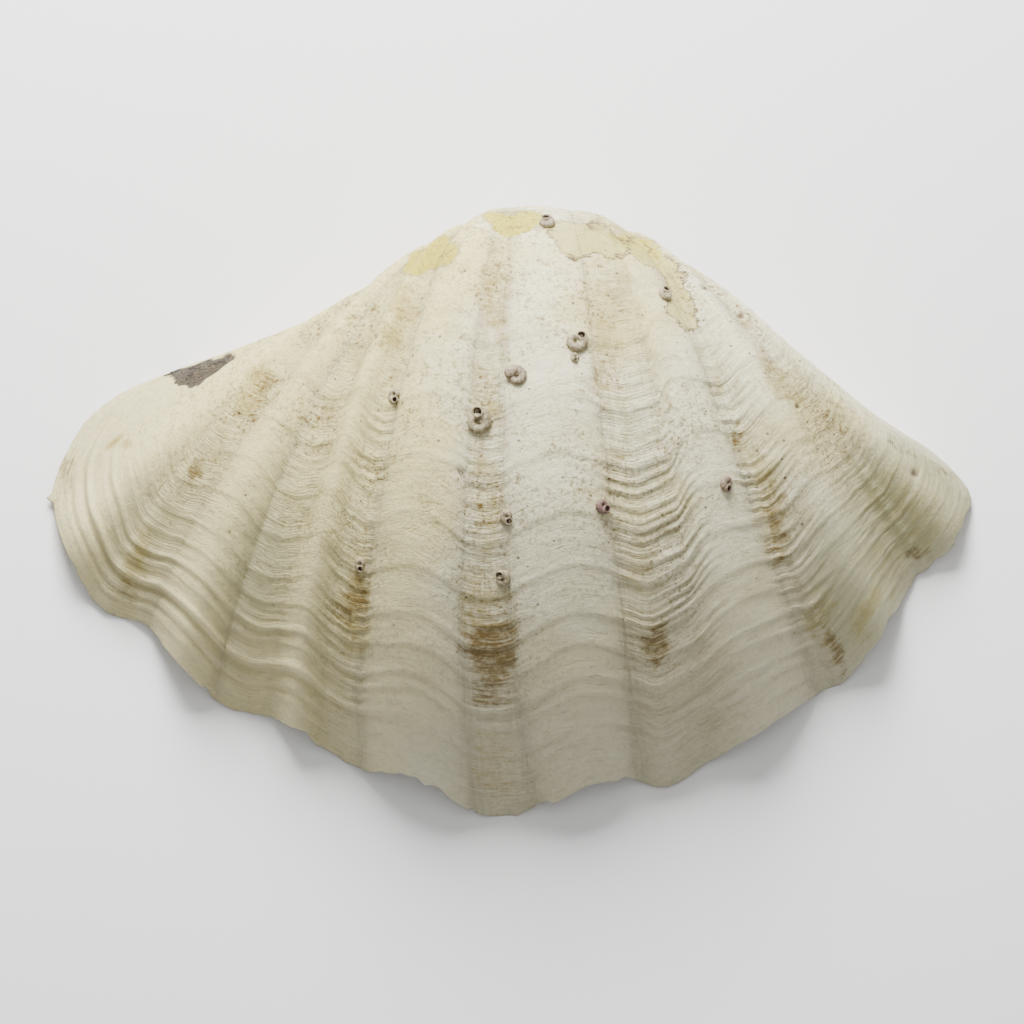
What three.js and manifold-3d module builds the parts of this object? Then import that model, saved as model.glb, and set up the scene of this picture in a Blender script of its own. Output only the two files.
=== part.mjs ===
// One valve of a giant clam, with the worm-snail tubes that are cemented to it.
// Millimetres. The valve lies hollow side down on its scalloped margin: +X runs along its length,
// +Y towards the umbo and +Z up through the outer face. The origin is under the middle of its box.

import * as THREE from 'three';
import Module from 'manifold-3d';
import { mergeVertices } from 'three/addons/utils/BufferGeometryUtils.js';

const wasm = await Module();
wasm.setup();

// How the shell grew. Every growth line is a smaller copy of the margin, turned about the hinge axis
// by COIL times the natural logarithm of its shrinkage. The ends are coiled less than the middle.
const COIL_MIDDLE = 1.422;
const COIL_LEFT_END = 1.06;
const COIL_RIGHT_END = 1.349;
const LEFT_REACH = 379;
const RIGHT_REACH = 328;
const UMBO_TURN = 0.86 * Math.PI;

// The margin in the plane that the two valves meet in, measured from the hinge axis.
// Each furrow has a flat floor between two creases. Its bow is how far its line swings sideways.
const CREASE_RISE = 5;
const FURROWS = [
  { left: [-345, -245], middle: [-324, -257], right: [-305, -266], bow: -48, ledge: 1.6 },
  { left: [-254, -319], middle: [-231, -330], right: [-212, -333], bow: -44, ledge: 1.8 },
  { left: [-170, -359], middle: [-154, -368], right: [-141, -374], bow: -40, ledge: 1.8 },
  { left: [-53, -407], middle: [-29, -408], right: [-6, -407], bow: -29, ledge: 1.8 },
  { left: [73, -384], middle: [94, -389], right: [120, -371], bow: 4, ledge: 2.6 },
  { left: [208, -316], middle: [220, -309], right: [231, -304], bow: 18, ledge: 2.0 },
  { left: [278, -236], middle: [288, -224], right: [297, -217], bow: 27, ledge: 1.4 },
];
const RIBS = [
  { crest: [-367, -209], rise: 22 },
  { crest: [-279, -296], rise: 30 },
  { crest: [-191, -345], rise: 28 },
  { crest: [-98, -386], rise: 32 },
  { crest: [35, -388], rise: 32 },
  { crest: [163, -348], rise: 32 },
  { crest: [257, -274], rise: 30 },
  { crest: [316, -198], rise: 18 },
];
const RIB_LEDGE = 1.0;
const LEFT_TIP = { at: [-379, -159], rise: 4, bow: -27 };
const RIGHT_TIP = { at: [328, -164], rise: 4, bow: 14 };
const HINGE_MIDDLE = [0, -14];
const LEFT_HINGE = [[-66, -3], [-127, -20], [-189, -36], [-237, -48], [-285, -63], [-320, -77], [-343, -92], [-362, -114]];
const RIGHT_HINGE = [[316, -143], [305, -132], [289, -120], [258, -111], [212, -90], [158, -78], [81, -46]];
const LEFT_HINGE_BOW = 6;
const RIGHT_HINGE_BOW = 0;

// Growth ledges, as shares of the way from the umbo to the margin, and the share that each step takes.
const LEDGES = [0.34, 0.43, 0.51, 0.59, 0.66, 0.73, 0.79, 0.85, 0.905, 0.955];
const LEDGE_STEP = 0.007;
const UMBO_ROWS = [0, 0.04, 0.09, 0.15, 0.21, 0.27];
const BEAK_DEPTH = 9;

// The inside: how far the rim and the hinge plate reach in, the wall's thickness and the cavity's sides.
const RIM_WIDTH = 16;
const TIP_RIM_WIDTH = 24;
const HINGE_PLATE_WIDTH = 40;
const FLAT_SHARE = 0.45;
const HINGE_PLATE_RISE = 7;
const CAVITY_CENTRE = [-10, -185];
const CAVITY_ROWS = [0.975, 0.94, 0.89, 0.82, 0.73, 0.62, 0.50, 0.37, 0.24, 0.12];
const WALL_AT_RIM = 19;
const WALL_AT_ROOF = 24;
const LEAST_WALL = 10;
const SIDE_SLOPE = 3.2;
const ROOF_ROUNDING = 26;
const INNER_SMOOTHING = 0.75;
const SMOOTHING_REACH = 4;

// Worm-snail tubes: place on the outer face, radius of the coil, radius of the tube, turns and first angle.
const TUBES = [
  { x: -51, y: -129, coil: 7.2, tube: 4.4, turns: 0.78, from: 3.0, open: true },
  { x: -22, y: -95, coil: 5.6, tube: 4.0, turns: 0.78, from: 4.2, open: false },
  { x: 22, y: -67, coil: 6.0, tube: 3.9, turns: 0.78, from: 2.2, open: true },
  { x: 22, y: -79, coil: 2.6, tube: 2.0, turns: 0.7, from: 0.2, open: true },
  { x: -33, y: -244, coil: 4.2, tube: 3.3, turns: 0.74, from: 3.8, open: true },
  { x: 89, y: -25, coil: 4.2, tube: 3.0, turns: 0.74, from: 2.6, open: true },
  { x: 4, y: 24, coil: 4.6, tube: 3.6, turns: 0.72, from: 3.2, open: true },
  { x: -113, y: -106, coil: 4.4, tube: 2.6, turns: 0.45, from: 2.2, open: true },
  { x: -29, y: -199, coil: 3.8, tube: 2.8, turns: 0.6, from: 1.4, open: true },
  { x: 42, y: -190, coil: 3.8, tube: 3.2, turns: 0.6, from: 1.8, open: true },
  { x: 136, y: -170, coil: 4.0, tube: 3.2, turns: 0.6, from: 1.0, open: true },
  { x: -139, y: -230, coil: 3.4, tube: 2.6, turns: 0.6, from: 1.0, open: true },
];
const TUBE_SIDES = 7;
const TUBE_LENGTHS = 8;
const TUBE_LIFT = 0.35;
const MOUTH_SHARE = 0.6;
const MOUTH_DEPTH = 5;

const SHELL_COLOUR = 0xe2dccb;

function mix(a, b, share) {
  return a + (b - a) * share;
}

function clamp01(value) {
  return Math.min(1, Math.max(0, value));
}

// The marks around the margin, in order: the hinge, the left end, the scalloped edge and the right end.
function marginMarks() {
  const marks = [];
  const add = (at, rise, bow, inset, ledge, kind) => marks.push({ x: at[0], y: at[1], rise, bow, inset, ledge, kind });
  add(HINGE_MIDDLE, 0, -4, HINGE_PLATE_WIDTH, 0, 'hinge');
  LEFT_HINGE.forEach((at, i) => {
    const share = i / LEFT_HINGE.length;
    const inset = mix(HINGE_PLATE_WIDTH, TIP_RIM_WIDTH, share * share);
    add(at, 0, mix(LEFT_HINGE_BOW, LEFT_TIP.bow, share), inset, 0.6 * share, 'hinge');
  });
  add(LEFT_TIP.at, LEFT_TIP.rise, LEFT_TIP.bow, TIP_RIM_WIDTH, 0.6, 'tip');
  RIBS.forEach((rib, i) => {
    const before = i > 0 ? FURROWS[i - 1].bow : LEFT_TIP.bow;
    const after = i < FURROWS.length ? FURROWS[i].bow : RIGHT_TIP.bow;
    add(rib.crest, rib.rise, (before + after) / 2, RIM_WIDTH, RIB_LEDGE, 'crest');
    if (i === FURROWS.length) {
      return;
    }
    const furrow = FURROWS[i];
    add(furrow.left, CREASE_RISE, furrow.bow, RIM_WIDTH, furrow.ledge, 'crease');
    add(furrow.middle, 0, furrow.bow, RIM_WIDTH, furrow.ledge, 'floor');
    add(furrow.right, CREASE_RISE, furrow.bow, RIM_WIDTH, furrow.ledge, 'crease');
  });
  add(RIGHT_TIP.at, RIGHT_TIP.rise, RIGHT_TIP.bow, TIP_RIM_WIDTH, 0.6, 'tip');
  RIGHT_HINGE.forEach((at, i) => {
    const share = 1 - (i + 1) / (RIGHT_HINGE.length + 1);
    const inset = mix(HINGE_PLATE_WIDTH, TIP_RIM_WIDTH, share * share);
    add(at, 0, mix(RIGHT_HINGE_BOW, RIGHT_TIP.bow, share), inset, 0.6 * share, 'hinge');
  });
  return marks;
}

// A smooth curve through four neighbouring values.
function curve(before, a, b, after, share) {
  const square = share * share;
  const cube = square * share;
  return 0.5 * (2 * a + (b - before) * share
    + (2 * before - 5 * a + 4 * b - after) * square
    + (3 * a - before - 3 * b + after) * cube);
}

// A rib is a round arch that meets its furrows at a sharp crease.
function archShare(from, to, share) {
  if (from.kind === 'crease' && to.kind === 'crest') {
    return Math.sin(share * Math.PI / 2);
  }
  if (from.kind === 'crest' && to.kind === 'crease') {
    return 1 - Math.cos(share * Math.PI / 2);
  }
  return 0.5 - 0.5 * Math.cos(share * Math.PI);
}

// The columns of the surface: points of the margin, three to each side of a rib and two to half a floor.
function marginColumns() {
  const marks = marginMarks();
  const columns = [];
  marks.forEach((from, i) => {
    const to = marks[(i + 1) % marks.length];
    const before = marks[(i + marks.length - 1) % marks.length];
    const after = marks[(i + 2) % marks.length];
    const flank = from.kind === 'crest' || to.kind === 'crest';
    const floor = from.kind === 'floor' || to.kind === 'floor';
    const parts = flank ? 3 : floor ? 2 : 1;
    for (let k = 0; k < parts; k += 1) {
      const share = k / parts;
      columns.push({
        x: curve(before.x, from.x, to.x, after.x, share),
        y: curve(before.y, from.y, to.y, after.y, share),
        rise: mix(from.rise, to.rise, archShare(from, to, share)),
        bow: mix(from.bow, to.bow, share),
        inset: mix(from.inset, to.inset, share),
        ledge: mix(from.ledge, to.ledge, share),
      });
    }
  });
  return columns;
}

function coilAt(x) {
  const end = x < 0 ? COIL_LEFT_END : COIL_RIGHT_END;
  const reach = x < 0 ? LEFT_REACH : RIGHT_REACH;
  return mix(COIL_MIDDLE, end, Math.min(1, (x / reach) ** 2));
}

// Where the growth line at a share of the way from the umbo crosses a column.
function grownPoint(column, share) {
  const coil = coilAt(column.x);
  const youngest = Math.exp(-UMBO_TURN / coil);
  const size = mix(youngest, 1, share);
  const turn = -coil * Math.log(size);
  return new THREE.Vector3(
    column.x * size + 4 * column.bow * size * (1 - size),
    size * (column.y * Math.cos(turn) + column.rise * Math.sin(turn)),
    size * (column.rise * Math.cos(turn) - column.y * Math.sin(turn)),
  );
}

// The rows of the outer face with the height that each stands proud, as shares of the ledge.
function outerRows() {
  const rows = UMBO_ROWS.map((share) => ({ share, proud: 0 }));
  LEDGES.forEach((share) => {
    rows.push({ share, proud: 1 });
    rows.push({ share: share + LEDGE_STEP, proud: 0 });
  });
  rows.push({ share: 1, proud: 0 });
  return rows;
}

function outerGrid(columns) {
  const rows = outerRows();
  const grid = rows.map((row) => columns.map((column) => grownPoint(column, row.share)));
  const count = columns.length;
  return grid.map((line, r) => line.map((point, c) => {
    const up = grid[Math.min(r + 1, grid.length - 1)][c];
    const down = grid[Math.max(r - 1, 0)][c];
    const along = new THREE.Vector3().subVectors(up, down);
    const across = new THREE.Vector3().subVectors(line[(c + 1) % count], line[(c + count - 1) % count]);
    const outward = new THREE.Vector3().crossVectors(along, across).normalize();
    return point.clone().addScaledVector(outward, rows[r].proud * columns[c].ledge);
  }));
}

// The outer face's greatest height over a place in plan, or null beside it.
function heightOver(grid, x, y) {
  let best = null;
  const count = grid[0].length;
  const weigh = (a, b, c) => {
    const area = (b.x - a.x) * (c.y - a.y) - (b.y - a.y) * (c.x - a.x);
    if (Math.abs(area) < 1e-9) {
      return;
    }
    const u = ((x - a.x) * (c.y - a.y) - (y - a.y) * (c.x - a.x)) / area;
    const v = ((b.x - a.x) * (y - a.y) - (b.y - a.y) * (x - a.x)) / area;
    if (u < -1e-9 || v < -1e-9 || u + v > 1 + 1e-9) {
      return;
    }
    const z = a.z + u * (b.z - a.z) + v * (c.z - a.z);
    best = best === null ? z : Math.max(best, z);
  };
  for (let r = 0; r + 1 < grid.length; r += 1) {
    for (let c = 0; c < count; c += 1) {
      const next = (c + 1) % count;
      weigh(grid[r][c], grid[r][next], grid[r + 1][c]);
      weigh(grid[r][next], grid[r + 1][next], grid[r + 1][c]);
    }
  }
  return best;
}

function smoothLower(a, b, rounding) {
  const share = clamp01(0.5 + 0.5 * (b - a) / rounding);
  return mix(b, a, share) - rounding * share * (1 - share);
}

// The rim's two inner lines: a flat band level with the margin, then the slope to the cavity's edge.
function rimLines(columns, outer) {
  return [FLAT_SHARE, 1].map((share) => columns.map((column) => {
    const out = new THREE.Vector2(column.x - CAVITY_CENTRE[0], column.y - CAVITY_CENTRE[1]);
    const length = out.length();
    out.multiplyScalar((length - column.inset * share) / length);
    const plate = clamp01((column.inset - RIM_WIDTH) / (HINGE_PLATE_WIDTH - RIM_WIDTH));
    const rise = column.rise + (share < 1 ? 0 : HINGE_PLATE_RISE * plate);
    const x = out.x + CAVITY_CENTRE[0];
    const y = out.y + CAVITY_CENTRE[1];
    const highest = heightOver(outer, x, y) - LEAST_WALL * share;
    return new THREE.Vector3(x, y, Math.max(0, Math.min(rise, highest)));
  }));
}

// The cavity: the outer face lowered by the wall, with steep sides, and folds that fade out inwards.
function cavityGrid(outer, edge) {
  const count = edge.length;
  return CAVITY_ROWS.map((share) => {
    const line = edge.map((rim) => {
      const x = mix(CAVITY_CENTRE[0], rim.x, share);
      const y = mix(CAVITY_CENTRE[1], rim.y, share);
      const inward = Math.hypot(rim.x - x, rim.y - y);
      const over = heightOver(outer, x, y);
      const roof = over - mix(WALL_AT_ROOF, WALL_AT_RIM, share);
      const side = rim.z + SIDE_SLOPE * inward;
      const lid = smoothLower(roof, side, ROOF_ROUNDING * (1 - share));
      return new THREE.Vector3(x, y, Math.min(Math.max(rim.z, lid), over - LEAST_WALL));
    });
    const fade = INNER_SMOOTHING * clamp01((1 - share) / 0.5);
    return line.map((point, c) => {
      let sum = 0;
      for (let k = -SMOOTHING_REACH; k <= SMOOTHING_REACH; k += 1) {
        sum += line[(c + k + count) % count].z;
      }
      const smooth = sum / (2 * SMOOTHING_REACH + 1);
      return new THREE.Vector3(point.x, point.y, mix(point.z, smooth, fade));
    });
  });
}

// Joins rings of points into one closed body, with a point at each end.
function closedSkin(rings, firstPole, lastPole) {
  const positions = [];
  const faces = [];
  const count = rings[0].length;
  rings.forEach((ring) => ring.forEach((point) => positions.push(point.x, point.y, point.z)));
  const first = positions.length / 3;
  positions.push(firstPole.x, firstPole.y, firstPole.z);
  const last = first + 1;
  positions.push(lastPole.x, lastPole.y, lastPole.z);
  for (let c = 0; c < count; c += 1) {
    const next = (c + 1) % count;
    faces.push(first, next, c);
    faces.push(last, (rings.length - 1) * count + c, (rings.length - 1) * count + next);
    for (let r = 0; r + 1 < rings.length; r += 1) {
      const a = r * count + c;
      const b = r * count + next;
      faces.push(a, b, a + count);
      faces.push(b, b + count, a + count);
    }
  }
  const geometry = new THREE.BufferGeometry();
  geometry.setAttribute('position', new THREE.Float32BufferAttribute(positions, 3));
  geometry.setIndex(faces);
  return outwardFacing(geometry);
}

// Turns every face round if the body is inside out.
function outwardFacing(geometry) {
  const position = geometry.getAttribute('position');
  const index = geometry.getIndex().array;
  const a = new THREE.Vector3();
  const b = new THREE.Vector3();
  const c = new THREE.Vector3();
  let volume = 0;
  for (let i = 0; i < index.length; i += 3) {
    a.fromBufferAttribute(position, index[i]);
    b.fromBufferAttribute(position, index[i + 1]);
    c.fromBufferAttribute(position, index[i + 2]);
    volume += a.dot(b.cross(c));
  }
  if (volume < 0) {
    for (let i = 0; i < index.length; i += 3) {
      [index[i], index[i + 1]] = [index[i + 1], index[i]];
    }
  }
  return geometry;
}

function meanPoint(ring) {
  const mean = new THREE.Vector3();
  ring.forEach((point) => mean.add(point));
  return mean.divideScalar(ring.length);
}

function valveGeometry(outer, columns) {
  const rim = rimLines(columns, outer);
  const cavity = cavityGrid(outer, rim[1]);
  const beak = meanPoint(outer[0]).add(new THREE.Vector3(0, -BEAK_DEPTH * 0.3, -BEAK_DEPTH * 0.2));
  const innermost = meanPoint(cavity[cavity.length - 1]);
  return closedSkin([...outer, ...rim, ...cavity], beak, innermost);
}

// A tube that lies in a coil on the shell, its mouth lifted and hollow, its young end closed.
function tubeGeometry(outer, spec) {
  const reach = 4;
  const at = (dx, dy) => new THREE.Vector3(spec.x + dx, spec.y + dy, heightOver(outer, spec.x + dx, spec.y + dy));
  const middle = at(0, 0);
  const alongX = at(reach, 0).sub(at(-reach, 0)).normalize();
  const alongY = at(0, reach).sub(at(0, -reach)).normalize();
  const normal = new THREE.Vector3().crossVectors(alongX, alongY).normalize();
  const sideways = new THREE.Vector3().crossVectors(normal, alongX).normalize();
  const path = [];
  for (let k = 0; k <= TUBE_LENGTHS; k += 1) {
    const share = k / TUBE_LENGTHS;
    const angle = spec.from + share * spec.turns * 2 * Math.PI;
    const radius = spec.coil * mix(0.85, 1, share);
    const last = clamp01((share - 0.7) / 0.3);
    const lift = spec.tube * (TUBE_LIFT + 0.9 * last * last);
    path.push({
      point: middle.clone()
        .addScaledVector(alongX, radius * Math.cos(angle))
        .addScaledVector(sideways, radius * Math.sin(angle))
        .addScaledVector(normal, lift),
      radius: spec.tube * mix(0.55, 1, share),
    });
  }
  const rings = path.map((step, k) => {
    const after = path[Math.min(k + 1, path.length - 1)].point;
    const before = path[Math.max(k - 1, 0)].point;
    const forward = new THREE.Vector3().subVectors(after, before).normalize();
    const side = new THREE.Vector3().crossVectors(forward, normal).normalize();
    const up = new THREE.Vector3().crossVectors(side, forward).normalize();
    return { forward, side, up, ...step };
  });
  const circle = (ring, radius, back) => Array.from({ length: TUBE_SIDES }, (_, s) => {
    const angle = s * 2 * Math.PI / TUBE_SIDES;
    return ring.point.clone()
      .addScaledVector(ring.forward, -back)
      .addScaledVector(ring.side, radius * Math.cos(angle))
      .addScaledVector(ring.up, radius * Math.sin(angle));
  });
  const lines = rings.map((ring) => circle(ring, ring.radius, 0));
  const end = rings[rings.length - 1];
  const tail = rings[0].point.clone().addScaledVector(rings[0].forward, -0.5 * rings[0].radius);
  if (!spec.open) {
    return closedSkin(lines, tail, end.point.clone().addScaledVector(end.forward, 0.5 * end.radius));
  }
  lines.push(circle(end, end.radius * MOUTH_SHARE, 0));
  const floor = end.point.clone().addScaledVector(end.forward, -Math.min(MOUTH_DEPTH, end.radius * 1.3));
  return closedSkin(lines, tail, floor);
}

function toSolid(geometry) {
  const position = geometry.getAttribute('position');
  const mesh = new wasm.Mesh({
    numProp: 3,
    vertProperties: new Float32Array(position.array),
    triVerts: new Uint32Array(geometry.getIndex().array),
  });
  return new wasm.Manifold(mesh);
}

function toGeometry(solid) {
  const mesh = solid.getMesh();
  const geometry = new THREE.BufferGeometry();
  geometry.setAttribute('position', new THREE.Float32BufferAttribute(mesh.vertProperties, mesh.numProp));
  geometry.setIndex(Array.from(mesh.triVerts));
  return mergeVertices(geometry, 1e-3);
}

const columns = marginColumns();
const outer = outerGrid(columns);
let solid = toSolid(valveGeometry(outer, columns));
TUBES.forEach((spec) => {
  solid = solid.add(toSolid(tubeGeometry(outer, spec)));
});
const geometry = toGeometry(solid);
geometry.computeBoundingBox();
const box = geometry.boundingBox;
geometry.translate(-(box.min.x + box.max.x) / 2, -(box.min.y + box.max.y) / 2, -box.min.z);

const valve = new THREE.Mesh(geometry, new THREE.MeshStandardMaterial({
  color: SHELL_COLOUR,
  roughness: 0.62,
  metalness: 0,
}));
valve.name = 'valve';

const shell = new THREE.Group();
shell.add(valve);

export default shell;
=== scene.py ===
"""Dresses the giant clam valve: the grown shell, its cemented worm-snail tubes, its crust and its light."""

import logging
import math
from collections.abc import Callable
from dataclasses import dataclass, field
from enum import Enum
from typing import Self

import bmesh
import bpy
import numpy as np
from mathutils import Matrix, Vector
from mathutils.bvhtree import BVHTree


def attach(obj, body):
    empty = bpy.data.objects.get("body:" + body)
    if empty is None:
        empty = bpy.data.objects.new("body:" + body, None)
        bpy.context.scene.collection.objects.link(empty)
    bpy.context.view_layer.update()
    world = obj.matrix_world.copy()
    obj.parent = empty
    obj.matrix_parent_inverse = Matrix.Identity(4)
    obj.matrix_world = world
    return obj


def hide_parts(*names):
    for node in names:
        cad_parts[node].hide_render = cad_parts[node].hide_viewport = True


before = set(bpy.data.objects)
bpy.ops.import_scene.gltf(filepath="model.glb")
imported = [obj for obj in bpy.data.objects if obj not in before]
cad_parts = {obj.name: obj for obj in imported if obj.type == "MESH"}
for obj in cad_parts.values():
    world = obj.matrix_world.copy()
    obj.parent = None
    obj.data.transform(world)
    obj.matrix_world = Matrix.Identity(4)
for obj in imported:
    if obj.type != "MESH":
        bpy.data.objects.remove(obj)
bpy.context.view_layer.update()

LOG = logging.getLogger("clam")

MM = 0.001
VECTOR = "FLOAT_VECTOR"

Colour = tuple[float, float, float, float]
# Layers of noise: each one has a height, a seed and the size of its lumps.
Layers = tuple[tuple[float, int, float], ...]


class MarkKind(Enum):
    """What a point of the margin belongs to."""

    HINGE = "hinge"
    TIP = "tip"
    CREST = "crest"
    CREASE = "crease"
    FLOOR = "floor"


class StainKind(Enum):
    """The colours that patches of the shell take, each with its own mask on the mesh."""

    BROWN = "brown"
    TAN = "tan"
    YELLOW = "yellow"
    SAGE = "sage"
    CRUST = "crust"
    FLAKE = "flake"


@dataclass(frozen=True)
class Mark:
    """A point of the margin, with what grows from it."""

    x: float
    y: float
    rise: float
    bow: float
    inset: float
    ledge: float
    lamella: float
    kind: MarkKind
    soft: float = 0.0


@dataclass(frozen=True)
class Furrow:
    """A flat-floored furrow where it meets the margin, in millimetres.

    The two soft shares say how far each side runs out into its rib: 0 is a crisp crease. The spread
    is how much wider the furrow was in the valve's middle years, on its right side.
    """

    left: tuple[float, float]
    middle: tuple[float, float]
    right: tuple[float, float]
    bow: float
    ledge: float
    lamella: float
    left_soft: float
    right_soft: float
    spread: float = 0.0


@dataclass(frozen=True)
class Rib:
    """A rib's crest where it meets the margin, in millimetres."""

    crest: tuple[float, float]
    rise: float


@dataclass(frozen=True)
class Stain:
    """A soft patch of colour: its middle and half widths in plan, its turn and its strength."""

    kind: StainKind
    x: float
    y: float
    wide: float
    tall: float
    strength: float
    turn: float = 0.0


@dataclass(frozen=True)
class TubeSpec:
    """A worm-snail tube: its place in plan, the coil's and the tube's radius, its turns and its look."""

    name: str
    x: float
    y: float
    coil: float
    tube: float
    turns: float
    start: float
    open_mouth: bool = True
    purple: float = 0.0


def linear(red: int, green: int, blue: int) -> Colour:
    """Turns a colour from 0 to 255 as seen on a screen into Blender's linear colour.

    Args:
        red: The red value.
        green: The green value.
        blue: The blue value.

    Returns:
        The linear colour with full alpha.
    """
    out = []
    for value in (red, green, blue):
        share = value / 255.0
        out.append(share / 12.92 if share <= 0.04045 else ((share + 0.055) / 1.055) ** 2.4)
    return (out[0], out[1], out[2], 1.0)


def smooth_step(low: float, high: float, value: np.ndarray) -> np.ndarray:
    """Eases from 0 at low to 1 at high.

    Args:
        low: Where the ease starts.
        high: Where the ease ends.
        value: The values to ease.

    Returns:
        The eased shares.
    """
    share = np.clip((value - low) / (high - low), 0.0, 1.0)
    return share * share * (3.0 - 2.0 * share)


def between(first: float, second: float, share: float) -> float:
    """Gives the value a share of the way from the first to the second."""
    return first + (second - first) * share


@dataclass(frozen=True)
class LatticeNoise:
    """Smooth random values between -1 and 1 from a lattice with a fixed seed."""

    seed: int
    side: int = 64

    def at(self, points: np.ndarray, period: float) -> np.ndarray:
        """Reads the noise at points.

        Args:
            points: An array whose last axis holds x, y and z.
            period: The size of the noise's lumps, in the points' unit.

        Returns:
            One value per point.
        """
        table = np.random.default_rng(self.seed).uniform(-1.0, 1.0, (self.side,) * 3)
        scaled = np.asarray(points, dtype=float) / period
        base = np.floor(scaled).astype(int)
        share = scaled - base
        share = share * share * (3.0 - 2.0 * share)
        total = np.zeros(scaled.shape[:-1])
        for corner in range(8):
            step = np.array([corner & 1, (corner >> 1) & 1, (corner >> 2) & 1])
            weight = np.prod(np.where(step == 1, share, 1.0 - share), axis=-1)
            cell = (base + step) % self.side
            total += weight * table[cell[..., 0], cell[..., 1], cell[..., 2]]
        return total


def lumpy(points: np.ndarray, layers: Layers) -> np.ndarray:
    """Adds up layers of noise at points.

    Args:
        points: An array whose last axis holds x, y and z.
        layers: The layers.

    Returns:
        One value per point.
    """
    return sum(height * LatticeNoise(seed).at(points, size) for height, seed, size in layers)


@dataclass
class Columns:
    """The margin's points as arrays, one value for each column of the surface."""

    x: np.ndarray
    y: np.ndarray
    rise: np.ndarray
    bow: np.ndarray
    inset: np.ndarray
    ledge: np.ndarray
    lamella: np.ndarray
    furrow: np.ndarray
    crease: np.ndarray
    valley: np.ndarray
    hinge: np.ndarray


VALLEY_SHARES = {MarkKind.TIP: 0.1, MarkKind.CREASE: 0.9, MarkKind.FLOOR: 1.0}


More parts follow.
